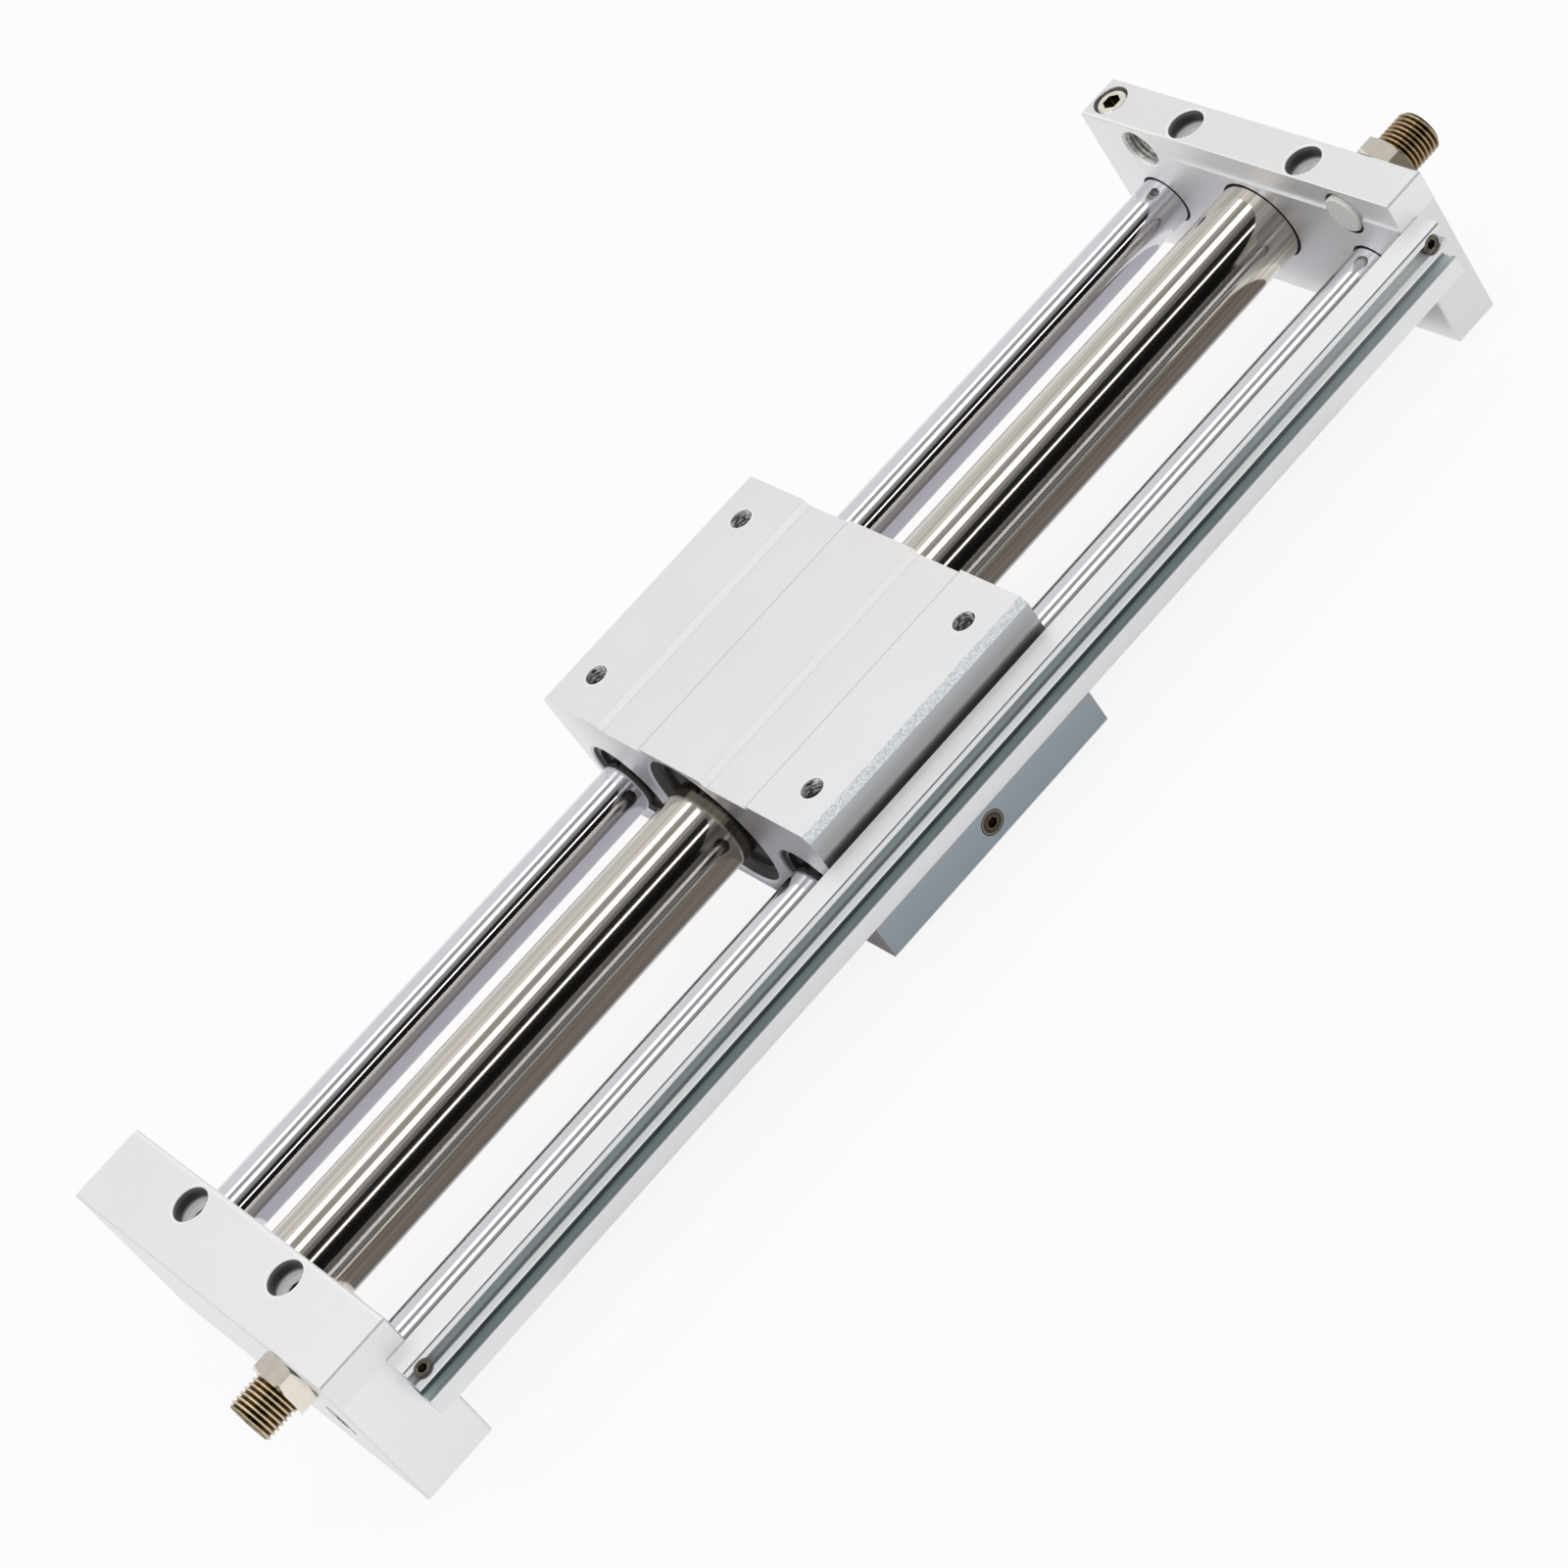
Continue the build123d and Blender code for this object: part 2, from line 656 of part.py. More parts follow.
# Adjusting bolts, each a stop for the block
with BuildPart() as adjusting_bolt_a:
    adjusting_bolt(face_a, outer_a + adjuster_reach_a, 1)
adjusting_bolt_a.part.label = "adjusting_bolt_a"
export_step(adjusting_bolt_a.part, "parts/adjusting_bolt_a.step")

with BuildPart() as adjusting_bolt_b:
    adjusting_bolt(face_b, outer_b - adjuster_reach_b, -1)
adjusting_bolt_b.part.label = "adjusting_bolt_b"
export_step(adjusting_bolt_b.part, "parts/adjusting_bolt_b.step")

with BuildPart() as bumper_a:
    bumper(face_a, 1)
bumper_a.part.label = "bumper_a"
export_step(bumper_a.part, "parts/bumper_a.step")

with BuildPart() as bumper_b:
    bumper(face_b, -1)
bumper_b.part.label = "bumper_b"
export_step(bumper_b.part, "parts/bumper_b.step")

with BuildPart() as lock_nut_a:
    lock_nut(outer_a, 1)
lock_nut_a.part.label = "lock_nut_a"
export_step(lock_nut_a.part, "parts/lock_nut_a.step")

with BuildPart() as lock_nut_b:
    lock_nut(outer_b, -1)
lock_nut_b.part.label = "lock_nut_b"
export_step(lock_nut_b.part, "parts/lock_nut_b.step")


# Slide block: one extrusion with the slider bore in the middle and a bushing bore on each side
with BuildPart() as slide_block:
    with BuildSketch(Plane.YZ.offset(block_rear)) as block_section:
        with Locations((0, block_base_height + block_height / 2)):
            Rectangle(block_width, block_height)
        chamfer(block_section.vertices().group_by(Axis.Y)[-1], block_edge_chamfer)
        chamfer(block_section.vertices().group_by(Axis.Y)[0], block_foot_chamfer)
        for side in (-1, 1):
            with BuildLine():
                Polyline(
                    (side * (recess_inner - recess_depth), block_top),
                    (side * recess_inner, block_top - recess_depth),
                    (side * recess_outer, block_top - recess_depth),
                    (side * (recess_outer + recess_depth), block_top),
                    close=True,
                )
            make_face(mode=Mode.SUBTRACT)
        with Locations((0, tube_axis_height)):
            Circle(slider_bore / 2, mode=Mode.SUBTRACT)
        with Locations((shaft_left, shaft_axis_height), (shaft_right, shaft_axis_height)):
            Circle(bushing_seat_bore / 2, mode=Mode.SUBTRACT)
    extrude(amount=block_length)
    # Grooves of the retaining rings, in all three bores at both ends
    for end, into in ((block_rear, 1), (block_front, -1)):
        land = end + into * slider_clip_land
        ring(
            land, land + into * slider_clip_thickness, slider_bore - 1,
            slider_bore + 2 * slider_clip_groove_depth, 0, tube_axis_height, Mode.SUBTRACT,
        )
        mouth_break(end, into, slider_bore, block_bore_break, 0, tube_axis_height)
        land = end + into * clip_land
        for side in (shaft_left, shaft_right):
            mouth_break(end, into, bushing_seat_bore, block_bore_break, side, shaft_axis_height)
            ring(
                land, land + into * clip_thickness, bushing_seat_bore - 1,
                bushing_seat_bore + 2 * clip_groove_depth, side, shaft_axis_height, Mode.SUBTRACT,
            )
    # Tapped holes for the load on top
    with Locations(Plane(origin=(block_rest_offset, 0, block_top))):
        with GridLocations(table_bolt_spacing_x, table_bolt_spacing_y, 2, 2):
            Hole(table_tap_drill / 2, depth=table_hole_depth)
    # Screw hole and magnet pocket in the side that faces the switch rail
    with Locations(looking_along((0, -1, 0), block_rest_offset, block_right, side_screw_height)):
        CounterBoreHole(
            side_screw_thread / 2 + seat_clearance, side_screw_head / 2 + 0.3,
            side_screw_head_height, depth=side_screw_length + 0.5,
        )
    with Locations(looking_along((0, -1, 0), block_rest_offset, block_right, switch_slot_middle)):
        Hole(switch_magnet_diameter / 2 + seat_clearance, depth=switch_magnet_length)
slide_block.part.label = "slide_block"
export_step(slide_block.part, "parts/slide_block.step")

# Brass socket screw low in the side of the block
with BuildPart() as side_plug_screw:
    side_seat = looking_along(
        (0, -1, 0), block_rest_offset, block_right + side_screw_head_height, side_screw_height
    )
    with BuildSketch(side_seat):
        Circle(side_screw_head / 2)
    extrude(amount=side_screw_head_height)
    with BuildSketch(side_seat):
        Circle(side_screw_thread / 2)
    extrude(amount=-(side_screw_length - side_screw_head_height))
    hex_pocket(side_seat.offset(side_screw_head_height), side_screw_hex, side_screw_hex_depth)
side_plug_screw.part.label = "side_plug_screw"
export_step(side_plug_screw.part, "parts/side_plug_screw.step")

# Small magnet in the block that trips a switch in the rail
with BuildPart() as switch_magnet:
    with BuildSketch(looking_along((0, -1, 0), block_rest_offset, block_right, switch_slot_middle)):
        Circle(switch_magnet_diameter / 2)
    extrude(amount=-switch_magnet_length)
switch_magnet.part.label = "switch_magnet"
export_step(switch_magnet.part, "parts/switch_magnet.step")

# Ball bushings: a hardened shell, a cage with ball tracks and a seal at each end
bushing_core = bushing_diameter - 2 * bushing_shell
bushing_bore = shaft_diameter + 2 * running_clearance
cage_outer = bushing_core - 2 * seat_clearance
front_bushing = (block_front - clip_inner_face - bushing_length, block_front - clip_inner_face)
rear_bushing = (block_rear + clip_inner_face, block_rear + clip_inner_face + bushing_length)


def bushing_outer(span, side):
    """The hardened shell of one ball bushing, with the ring grooves near its ends."""
    start, end = span
    ring(start, end, bushing_core, bushing_diameter, side, shaft_axis_height)
    for groove in (start + bushing_inset, end - bushing_inset - clip_thickness):
        ring(
            groove, groove + clip_thickness, bushing_diameter - clip_groove_depth,
            bushing_diameter + 1, side, shaft_axis_height, Mode.SUBTRACT,
        )


with BuildPart() as ball_bushing_left_a:
    bushing_outer(front_bushing, shaft_left)
ball_bushing_left_a.part.label = "ball_bushing_left_a"
export_step(ball_bushing_left_a.part, "parts/ball_bushing_left_a.step")

with BuildPart() as ball_bushing_left_b:
    bushing_outer(rear_bushing, shaft_left)
ball_bushing_left_b.part.label = "ball_bushing_left_b"
export_step(ball_bushing_left_b.part, "parts/ball_bushing_left_b.step")

with BuildPart() as ball_bushing_right_a:
    bushing_outer(front_bushing, shaft_right)
ball_bushing_right_a.part.label = "ball_bushing_right_a"
export_step(ball_bushing_right_a.part, "parts/ball_bushing_right_a.step")

with BuildPart() as ball_bushing_right_b:
    bushing_outer(rear_bushing, shaft_right)
ball_bushing_right_b.part.label = "ball_bushing_right_b"
export_step(ball_bushing_right_b.part, "parts/ball_bushing_right_b.step")

with BuildPart() as bushing_cages:
    for side in (shaft_left, shaft_right):
        for start, end in (front_bushing, rear_bushing):
            cage_start = start + bushing_seal_thickness
            cage_end = end - bushing_seal_thickness
            ring(cage_start, cage_end, bushing_bore, cage_outer, side, shaft_axis_height)
            track_length = cage_end - cage_start - 2 * bushing_inset
            track_radius = bushing_core / 2 - bushing_track_depth / 2
            with Locations(Location(((start + end) / 2, side, shaft_axis_height), (0, 90, 0))):
                with PolarLocations(track_radius, bushing_track_count):
                    Box(bushing_track_depth, bushing_track_width, track_length, mode=Mode.SUBTRACT)
bushing_cages.part.label = "bushing_cages"
export_step(bushing_cages.part, "parts/bushing_cages.step")

with BuildPart() as bushing_seals:
    for side in (shaft_left, shaft_right):
        for start, end in (front_bushing, rear_bushing):
            for low in (start, end - bushing_seal_thickness):
                ring(
                    low, low + bushing_seal_thickness, bushing_bore, cage_outer,
                    side, shaft_axis_height,
                )
bushing_seals.part.label = "bushing_seals"
export_step(bushing_seals.part, "parts/bushing_seals.step")


def open_clip(start, end, bore, groove_depth, width, y, z):
    """A snap ring for a bore: a ring with a gap at the top."""
    ring(start, end, bore - 2 * width, bore + 2 * groove_depth - 2 * seat_clearance, y, z)
    with Locations(((start + end) / 2, y, z + bore / 2)):
        Box(abs(end - start), clip_opening, 4 * width, mode=Mode.SUBTRACT)


with BuildPart() as bushing_clips:
    for end, into in ((block_rear, 1), (block_front, -1)):
        land = end + into * clip_land
        for side in (shaft_left, shaft_right):
            open_clip(
                land, land + into * clip_thickness, bushing_seat_bore, clip_groove_depth,
                clip_width, side, shaft_axis_height,
            )
bushing_clips.part.label = "bushing_clips"
export_step(bushing_clips.part, "parts/bushing_clips.step")

# Magnetic slider: a sleeve in the block that holds ring magnets and yokes round the tube
slider_middle = block_rest_offset
with BuildPart() as slider_sleeve:
    ring(
        slider_middle - sleeve_half, slider_middle + sleeve_half, sleeve_bore, slider_diameter,
        0, tube_axis_height,
    )
slider_sleeve.part.label = "slider_sleeve"
export_step(slider_sleeve.part, "parts/slider_sleeve.step")

slider_ring_bore = tube_diameter + 2 * yoke_gap
slider_ring_outer = sleeve_bore - 2 * seat_clearance
stack_pitch = magnet_thickness + yoke_thickness
first_yoke = slider_middle - stack_half
with BuildPart() as slider_yokes:
    for index in range(magnet_count + 1):
        low = first_yoke + index * stack_pitch
        ring(low, low + yoke_thickness, slider_ring_bore, slider_ring_outer, 0, tube_axis_height)
slider_yokes.part.label = "slider_yokes"
export_step(slider_yokes.part, "parts/slider_yokes.step")

with BuildPart() as slider_magnets:
    for index in range(magnet_count):
        low = first_yoke + yoke_thickness + index * stack_pitch
        ring(low, low + magnet_thickness, slider_ring_bore, slider_ring_outer, 0, tube_axis_height)
slider_magnets.part.label = "slider_magnets"
export_step(slider_magnets.part, "parts/slider_magnets.step")

# Spacers fill the sleeve outside the stack and carry the wear rings that ride on the tube
wear_ring_bore = tube_diameter + 2 * running_clearance
wear_groove = wear_ring_bore + 2 * wear_ring_thickness
with BuildPart() as slider_spacers:
    for towards in (-1, 1):
        near = slider_middle + towards * stack_half
        far = slider_middle + towards * sleeve_half
        ring(near, far, slider_ring_bore, slider_ring_outer, 0, tube_axis_height)
        ring(
            far, far - towards * wear_ring_width, slider_ring_bore - 1,
            wear_groove + 2 * seat_clearance, 0, tube_axis_height, Mode.SUBTRACT,
        )
slider_spacers.part.label = "slider_spacers"
export_step(slider_spacers.part, "parts/slider_spacers.step")

with BuildPart() as slider_wear_rings:
    for towards in (-1, 1):
        far = slider_middle + towards * sleeve_half
        ring(far, far - towards * wear_ring_width, wear_ring_bore, wear_groove, 0, tube_axis_height)
slider_wear_rings.part.label = "slider_wear_rings"
export_step(slider_wear_rings.part, "parts/slider_wear_rings.step")

# Scrapers: dark plastic rings with a lip on the tube, the first thing seen in the block's bore
with BuildPart() as slider_scrapers:
    for towards in (-1, 1):
        near = slider_middle + towards * sleeve_half
        far = slider_middle + towards * slider_half
        lip = near + towards * scraper_lip
        turn(
            [
                (near, wear_ring_bore / 2), (lip, wear_ring_bore / 2), (far, wear_ring_bore / 2 + 3),
                (far, slider_diameter / 2), (near, slider_diameter / 2),
            ],
            0, tube_axis_height,
        )
slider_scrapers.part.label = "slider_scrapers"
export_step(slider_scrapers.part, "parts/slider_scrapers.step")

with BuildPart() as slider_clips:
    for end, into in ((block_rear, 1), (block_front, -1)):
        land = end + into * slider_clip_land
        open_clip(
            land, land + into * slider_clip_thickness, slider_bore, slider_clip_groove_depth,
            slider_clip_width, 0, tube_axis_height,
        )
slider_clips.part.label = "slider_clips"
export_step(slider_clips.part, "parts/slider_clips.step")

# Piston train: a rod with the inner magnets and yokes, and a piston at each end
piston_core = tube_bore - 2 * magnet_play
rod_hole = rod_diameter + 2 * seat_clearance
piston_face = stack_half + piston_length
rod_half = piston_face + piston_nut_thickness + rod_end_stand
with BuildPart() as piston_rod:
    bar(
        slider_middle - rod_half, slider_middle + rod_half, rod_diameter, 0, tube_axis_height,
        break_start=rod_end_stand, break_end=rod_end_stand,
    )
piston_rod.part.label = "piston_rod"
export_step(piston_rod.part, "parts/piston_rod.step")

with BuildPart() as piston_yokes:
    for index in range(magnet_count + 1):
        low = first_yoke + index * stack_pitch
        ring(low, low + yoke_thickness, rod_hole, piston_core, 0, tube_axis_height)
piston_yokes.part.label = "piston_yokes"
export_step(piston_yokes.part, "parts/piston_yokes.step")

with BuildPart() as piston_magnets:
    for index in range(magnet_count):
        low = first_yoke + yoke_thickness + index * stack_pitch
        ring(low, low + magnet_thickness, rod_hole, piston_core, 0, tube_axis_height)
piston_magnets.part.label = "piston_magnets"
export_step(piston_magnets.part, "parts/piston_magnets.step")

sliding_diameter = tube_bore - 2 * running_clearance
ring_groove = sliding_diameter - 2 * piston_ring_thickness
seal_groove_floor = sliding_diameter - 2 * piston_seal_height


def piston_body(towards):
    """One piston, with the grooves of its wear ring and seal."""
    near = slider_middle + towards * stack_half
    far = slider_middle + towards * piston_face
    body = tube_bore - 2 * piston_play
    ring(near, far, rod_hole, body, 0, tube_axis_height)
    for offset, width, floor in (
        (piston_ring_offset, piston_ring_width, ring_groove),
        (piston_seal_offset, piston_seal_width, seal_groove_floor),
    ):
        low = near + towards * offset
        ring(
            low, low + towards * width, floor - 2 * seat_clearance, tube_bore,
            0, tube_axis_height, Mode.SUBTRACT,
        )


def piston_trim(towards, offset, width, floor):
    """A ring in one of a piston's grooves, sliding on the tube's bore."""
    low = slider_middle + towards * (stack_half + offset)
    ring(low, low + towards * width, floor, sliding_diameter, 0, tube_axis_height)


with BuildPart() as piston_body_a:
    piston_body(1)
piston_body_a.part.label = "piston_body_a"
export_step(piston_body_a.part, "parts/piston_body_a.step")

with BuildPart() as piston_body_b:
    piston_body(-1)
piston_body_b.part.label = "piston_body_b"
export_step(piston_body_b.part, "parts/piston_body_b.step")

with BuildPart() as piston_wear_rings:
    for towards in (-1, 1):
        piston_trim(towards, piston_ring_offset, piston_ring_width, ring_groove)
piston_wear_rings.part.label = "piston_wear_rings"
export_step(piston_wear_rings.part, "parts/piston_wear_rings.step")

with BuildPart() as piston_seals:
    for towards in (-1, 1):
        piston_trim(towards, piston_seal_offset, piston_seal_width, seal_groove_floor)
piston_seals.part.label = "piston_seals"
export_step(piston_seals.part, "parts/piston_seals.step")

with BuildPart() as piston_nuts:
    for towards in (-1, 1):
        with BuildSketch(Plane.YZ.offset(slider_middle + towards * piston_face)):
            with Locations((0, tube_axis_height)):
                RegularPolygon(piston_nut_width / 2, 6, major_radius=False)
                Circle(rod_hole / 2, mode=Mode.SUBTRACT)
        extrude(amount=towards * piston_nut_thickness)
piston_nuts.part.label = "piston_nuts"
export_step(piston_nuts.part, "parts/piston_nuts.step")

with BuildPart() as piston_bumpers:
    for towards in (-1, 1):
        ring(
            slider_middle + towards * piston_face, slider_middle + towards * piston_limit,
            piston_bumper_bore, piston_bumper_diameter, 0, tube_axis_height,
        )
piston_bumpers.part.label = "piston_bumpers"
export_step(piston_bumpers.part, "parts/piston_bumpers.step")
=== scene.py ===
import bmesh
import bpy
import numpy as np
from mathutils import Matrix, Vector


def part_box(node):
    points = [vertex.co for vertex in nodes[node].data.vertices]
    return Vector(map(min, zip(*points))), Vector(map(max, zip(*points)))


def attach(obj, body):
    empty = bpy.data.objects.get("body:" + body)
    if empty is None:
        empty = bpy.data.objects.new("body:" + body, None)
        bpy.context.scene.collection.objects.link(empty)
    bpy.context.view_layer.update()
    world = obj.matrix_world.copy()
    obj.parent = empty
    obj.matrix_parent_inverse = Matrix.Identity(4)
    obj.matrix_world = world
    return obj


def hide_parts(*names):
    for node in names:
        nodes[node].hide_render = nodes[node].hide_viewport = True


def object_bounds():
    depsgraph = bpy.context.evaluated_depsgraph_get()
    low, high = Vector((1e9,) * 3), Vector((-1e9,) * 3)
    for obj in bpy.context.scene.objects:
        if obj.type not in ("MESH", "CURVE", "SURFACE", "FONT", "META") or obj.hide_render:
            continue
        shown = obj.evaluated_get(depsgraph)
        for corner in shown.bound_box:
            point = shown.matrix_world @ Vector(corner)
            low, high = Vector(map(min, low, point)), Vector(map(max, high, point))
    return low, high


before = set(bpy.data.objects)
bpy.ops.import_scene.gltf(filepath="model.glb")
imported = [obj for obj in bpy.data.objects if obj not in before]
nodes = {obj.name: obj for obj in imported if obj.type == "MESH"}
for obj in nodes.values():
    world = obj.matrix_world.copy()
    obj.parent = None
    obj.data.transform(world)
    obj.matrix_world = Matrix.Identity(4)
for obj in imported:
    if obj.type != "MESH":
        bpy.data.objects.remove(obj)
cad_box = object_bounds()

# Camera
# The photograph is taken from above the switch rail's side, turned so that the tube runs from the
# lower left to the upper right of the picture.
camera_place = Vector((-0.27921, -0.92950, 0.79430))
camera_right = Vector((0.65675, -0.58490, -0.47599))
camera_down = Vector((-0.72294, -0.30875, -0.61808))
camera_forward = Vector((0.21456, 0.75004, -0.62563))
sensor_width = 36.0
focal_pixels = 4684.1
photo_pixels = 1600

camera_data = bpy.data.cameras.new("camera")
camera_data.sensor_width = sensor_width
camera_data.lens = focal_pixels / photo_pixels * sensor_width
camera_data.clip_start = 0.05
camera_data.clip_end = 50
camera = bpy.data.objects.new("camera", camera_data)
turn = Matrix((camera_right, -camera_down, -camera_forward)).transposed()
camera.matrix_world = Matrix.Translation(camera_place) @ turn.to_4x4()
bpy.context.collection.objects.link(camera)
scene = bpy.context.scene
scene.camera = camera
scene.view_settings.view_transform = "Standard"


# Studio
# A white table top, and long softboxes and flags that run parallel to the tube. Polished round
# metal shows them as the bright and dark lines along its length.
mm = 0.001


class Wire:
    """A shader socket: arithmetic on it adds Math nodes to the material that it belongs to."""

    def __init__(self, tree, socket):
        self.tree = tree
        self.socket = socket

    def _math(self, operation, first, second):
        node = self.tree.nodes.new("ShaderNodeMath")
        node.operation = operation
        for slot, value in zip(node.inputs, (first, second)):
            plug(self.tree, slot, value)
        return Wire(self.tree, node.outputs[0])

    def __add__(self, other):
        return self._math("ADD", self, other)

    def __radd__(self, other):
        return self._math("ADD", other, self)

    def __sub__(self, other):
        return self._math("SUBTRACT", self, other)

    def __rsub__(self, other):
        return self._math("SUBTRACT", other, self)

    def __mul__(self, other):
        return self._math("MULTIPLY", self, other)

    def __gt__(self, other):
        return self._math("GREATER_THAN", self, other)

    def __lt__(self, other):
        return self._math("LESS_THAN", self, other)

    def __and__(self, other):
        return self._math("MINIMUM", self, other)

    def __or__(self, other):
        return self._math("MAXIMUM", self, other)


def plug(tree, slot, value):
    """Puts a wire, a number or a colour into a node's input."""
    if isinstance(value, Wire):
        tree.links.new(value.socket, slot)
    elif isinstance(value, (tuple, list)) and slot.type == "RGBA":
        slot.default_value = (*value[:3], 1.0)
    else:
        slot.default_value = value


class Finish:
    """A surface finish being made, one node at a time."""

    def __init__(self, tree):
        self.tree = tree
        self.tree.nodes.clear()

    def outputs(self, kind, settings=None, inputs=None):
        """Adds a node: its settings come first, then the values or wires of its inputs."""
        made = self.tree.nodes.new("ShaderNode" + kind)
        for key, value in (settings or {}).items():
            if key == "stops":
                ramp = made.color_ramp.elements
                while len(ramp) < len(value):
                    ramp.new(0.5)
                for stop, (place, colour) in zip(ramp, value):
                    stop.position = place
                    stop.color = (*colour, 1.0)
            else:
                setattr(made, key, value)
        for key, value in (inputs or {}).items():
            plug(self.tree, made.inputs[key], value)
        return [Wire(self.tree, socket) for socket in made.outputs]

    def node(self, kind, settings=None, inputs=None, output=0):
        """Adds a node and gives one of its outputs."""
        return self.outputs(kind, settings, inputs)[output]

    def place(self, stretch=(1.0, 1.0, 1.0)):
        """The point on the surface in millimetres, each axis times its stretch."""
        object_output = 3
        point = self.node("TexCoord", output=object_output)
        scale = tuple(s / mm for s in stretch)
        return self.node("Mapping", inputs={"Vector": point, "Scale": scale})

    def blend(self, mask, first, second):
        """The first colour where the mask is 0, and the second where it is 1."""
        share, colour_a, colour_b, colour_output = 0, 6, 7, 2
        inputs = {share: mask, colour_a: first, colour_b: second}
        return self.node("Mix", {"data_type": "RGBA"}, inputs, colour_output)

    def finish(self, shader, kind="Material"):
        """Ends the tree with its output node."""
        end = self.tree.nodes.new("ShaderNodeOutput" + kind)
        self.tree.links.new(shader.socket, end.inputs["Surface"])


def seen_directly(look):
    """1 for what the camera, a mirror or glass sees, and 0 for the light that falls on things."""
    rays = look.outputs("LightPath")
    camera_ray, glossy_ray, transmission_ray = rays[0], rays[3], rays[6]
    total = camera_ray + glossy_ray + transmission_ray
    return look.node("Clamp", inputs={"Value": total})


def new_material(name, glows=False):
    """A material and its nodes. One that glows is found by reflected rays and is not used as a lamp."""
    material = bpy.data.materials.new(name)
    material.use_nodes = True
    if glows:
        material.cycles.emission_sampling = "NONE"
    return material, Finish(material.node_tree)


world_light = 0.60
world = bpy.data.worlds.new("studio_room")
scene.world = world
world.use_nodes = True
room = Finish(world.node_tree)
room_strength = world_light + seen_directly(room) * (1.0 - world_light)
room_white = {"Color": (1.0, 1.0, 1.0), "Strength": room_strength}
room.finish(room.node("Background", inputs=room_white), "World")


def flat_board(name, corners, material):
    """A four-cornered board through the given corners."""
    mesh = bpy.data.meshes.new(name)
    mesh.from_pydata(corners, [], [range(4)])
    mesh.materials.append(material)
    board = bpy.data.objects.new(name, mesh)
    bpy.context.collection.objects.link(board)
    return board


table_half = 9.0
table_drop = 0.0001
table_colour = (0.90, 0.90, 0.90)
table_glow = 0.87
table_white, look = new_material("table_white", glows=True)
paper = look.node("BsdfDiffuse", inputs={"Color": table_colour})
glow = look.node("Emission", inputs={"Color": (1.0, 1.0, 1.0), "Strength": 1.0})
look.finish(look.node("MixShader", inputs={0: seen_directly(look) * table_glow, 1: paper, 2: glow}))
floor = cad_box[0][2] - table_drop
flat_board(
    "table_top",
    [
        (-table_half, -table_half, floor), (table_half, -table_half, floor),
        (table_half, table_half, floor), (-table_half, table_half, floor),
    ],
    table_white,
)

# Angles go round the tube, from 0 level on the switch rail's side, over 90 straight up, to 180.
card_radius = 1.6
card_half_length = 2.2
card_middle = Vector((0.35, 0.0, 0.03))
card_lift = 0.4


def card_edge(angle):
    """The direction from the tube to a card's edge."""
    turned = np.radians(angle)
    return Vector((0.0, -np.cos(turned), np.sin(turned)))


def shade_card(name, corners, shade):
    """A card of one even shade that shows in reflections only, and casts no shadow."""
    material, look = new_material(name, glows=True)
    look.finish(look.node("Emission", inputs={"Color": shade, "Strength": 1.0}))
    board = flat_board(name, corners, material)
    board.visible_camera = False
    board.visible_diffuse = False
    board.visible_shadow = False


def flag(name, start, end, shade):
    """A long card of one shade between two angles."""
    along = Vector((card_half_length, 0.0, 0.0))
    near = card_middle + card_edge(start) * card_radius
    far = card_middle + card_edge(end) * card_radius
    shade_card(name, [near - along, near + along, far + along, far - along], shade)


def floor_shade_card(name, x_span, y_span, shade):
    """A card of one shade that lies on the table: painted shade of the table round the object, seen in
    reflections only.
    """
    lying = floor + card_lift * mm
    corners = [
        (x_span[0], y_span[0], lying), (x_span[1], y_span[0], lying),
        (x_span[1], y_span[1], lying), (x_span[0], y_span[1], lying),
    ]
    shade_card(name, corners, shade)


def softbox(name, start, end, brightness):
    """A long soft lamp between two angles, as bright as given where white paper is 1."""
    middle = card_edge((start + end) / 2)
    width = 2 * card_radius * np.tan(np.radians(end - start) / 2)
    lamp = bpy.data.lights.new(name, "AREA")
    lamp.shape = "RECTANGLE"
    lamp.size = 2 * card_half_length
    lamp.size_y = width
    lamp.energy = brightness * np.pi * lamp.size * lamp.size_y
    body = bpy.data.objects.new(name, lamp)
    across = middle.cross(Vector((1, 0, 0)))
    turn = Matrix((Vector((1, 0, 0)), across, middle)).transposed()
    body.matrix_world = Matrix.Translation(card_middle + middle * card_radius) @ turn.to_4x4()
    bpy.context.collection.objects.link(body)


flag("flag_low", 9, 41.2, (0.010, 0.010, 0.011))
softbox("softbox_front", 41.8, 45.6, 1.9)
flag("flag_front", 46.2, 60, (0.020, 0.020, 0.023))
flag("flag_slope", 60, 69, (0.26, 0.26, 0.26))
flag("flag_upper", 69, 77.5, (0.44, 0.44, 0.44))
softbox("softbox_top", 78.5, 91, 1.6)
flag("flag_back", 92, 108, (0.46, 0.46, 0.46))
softbox("softbox_back", 109.5, 121, 1.5)
flag("flag_rear", 122.5, 176, (0.88, 0.88, 0.88))
between_plates = (-0.19, 0.19)
# Painted shade: these cards stand for the darker table under the tube, beside the left shaft and by the
# block, as the metal reflects it.
floor_shade_card("painted_shade_under_tube", between_plates, (-60 * mm, -4 * mm), (0.23, 0.21, 0.20))
floor_shade_card("painted_shade_under_shaft", between_plates, (-4 * mm, 61 * mm), (0.55, 0.54, 0.585))
floor_shade_card("painted_shade_by_block", (-0.155, 0.165), (-93 * mm, -62.5 * mm), (0.30, 0.33, 0.37))


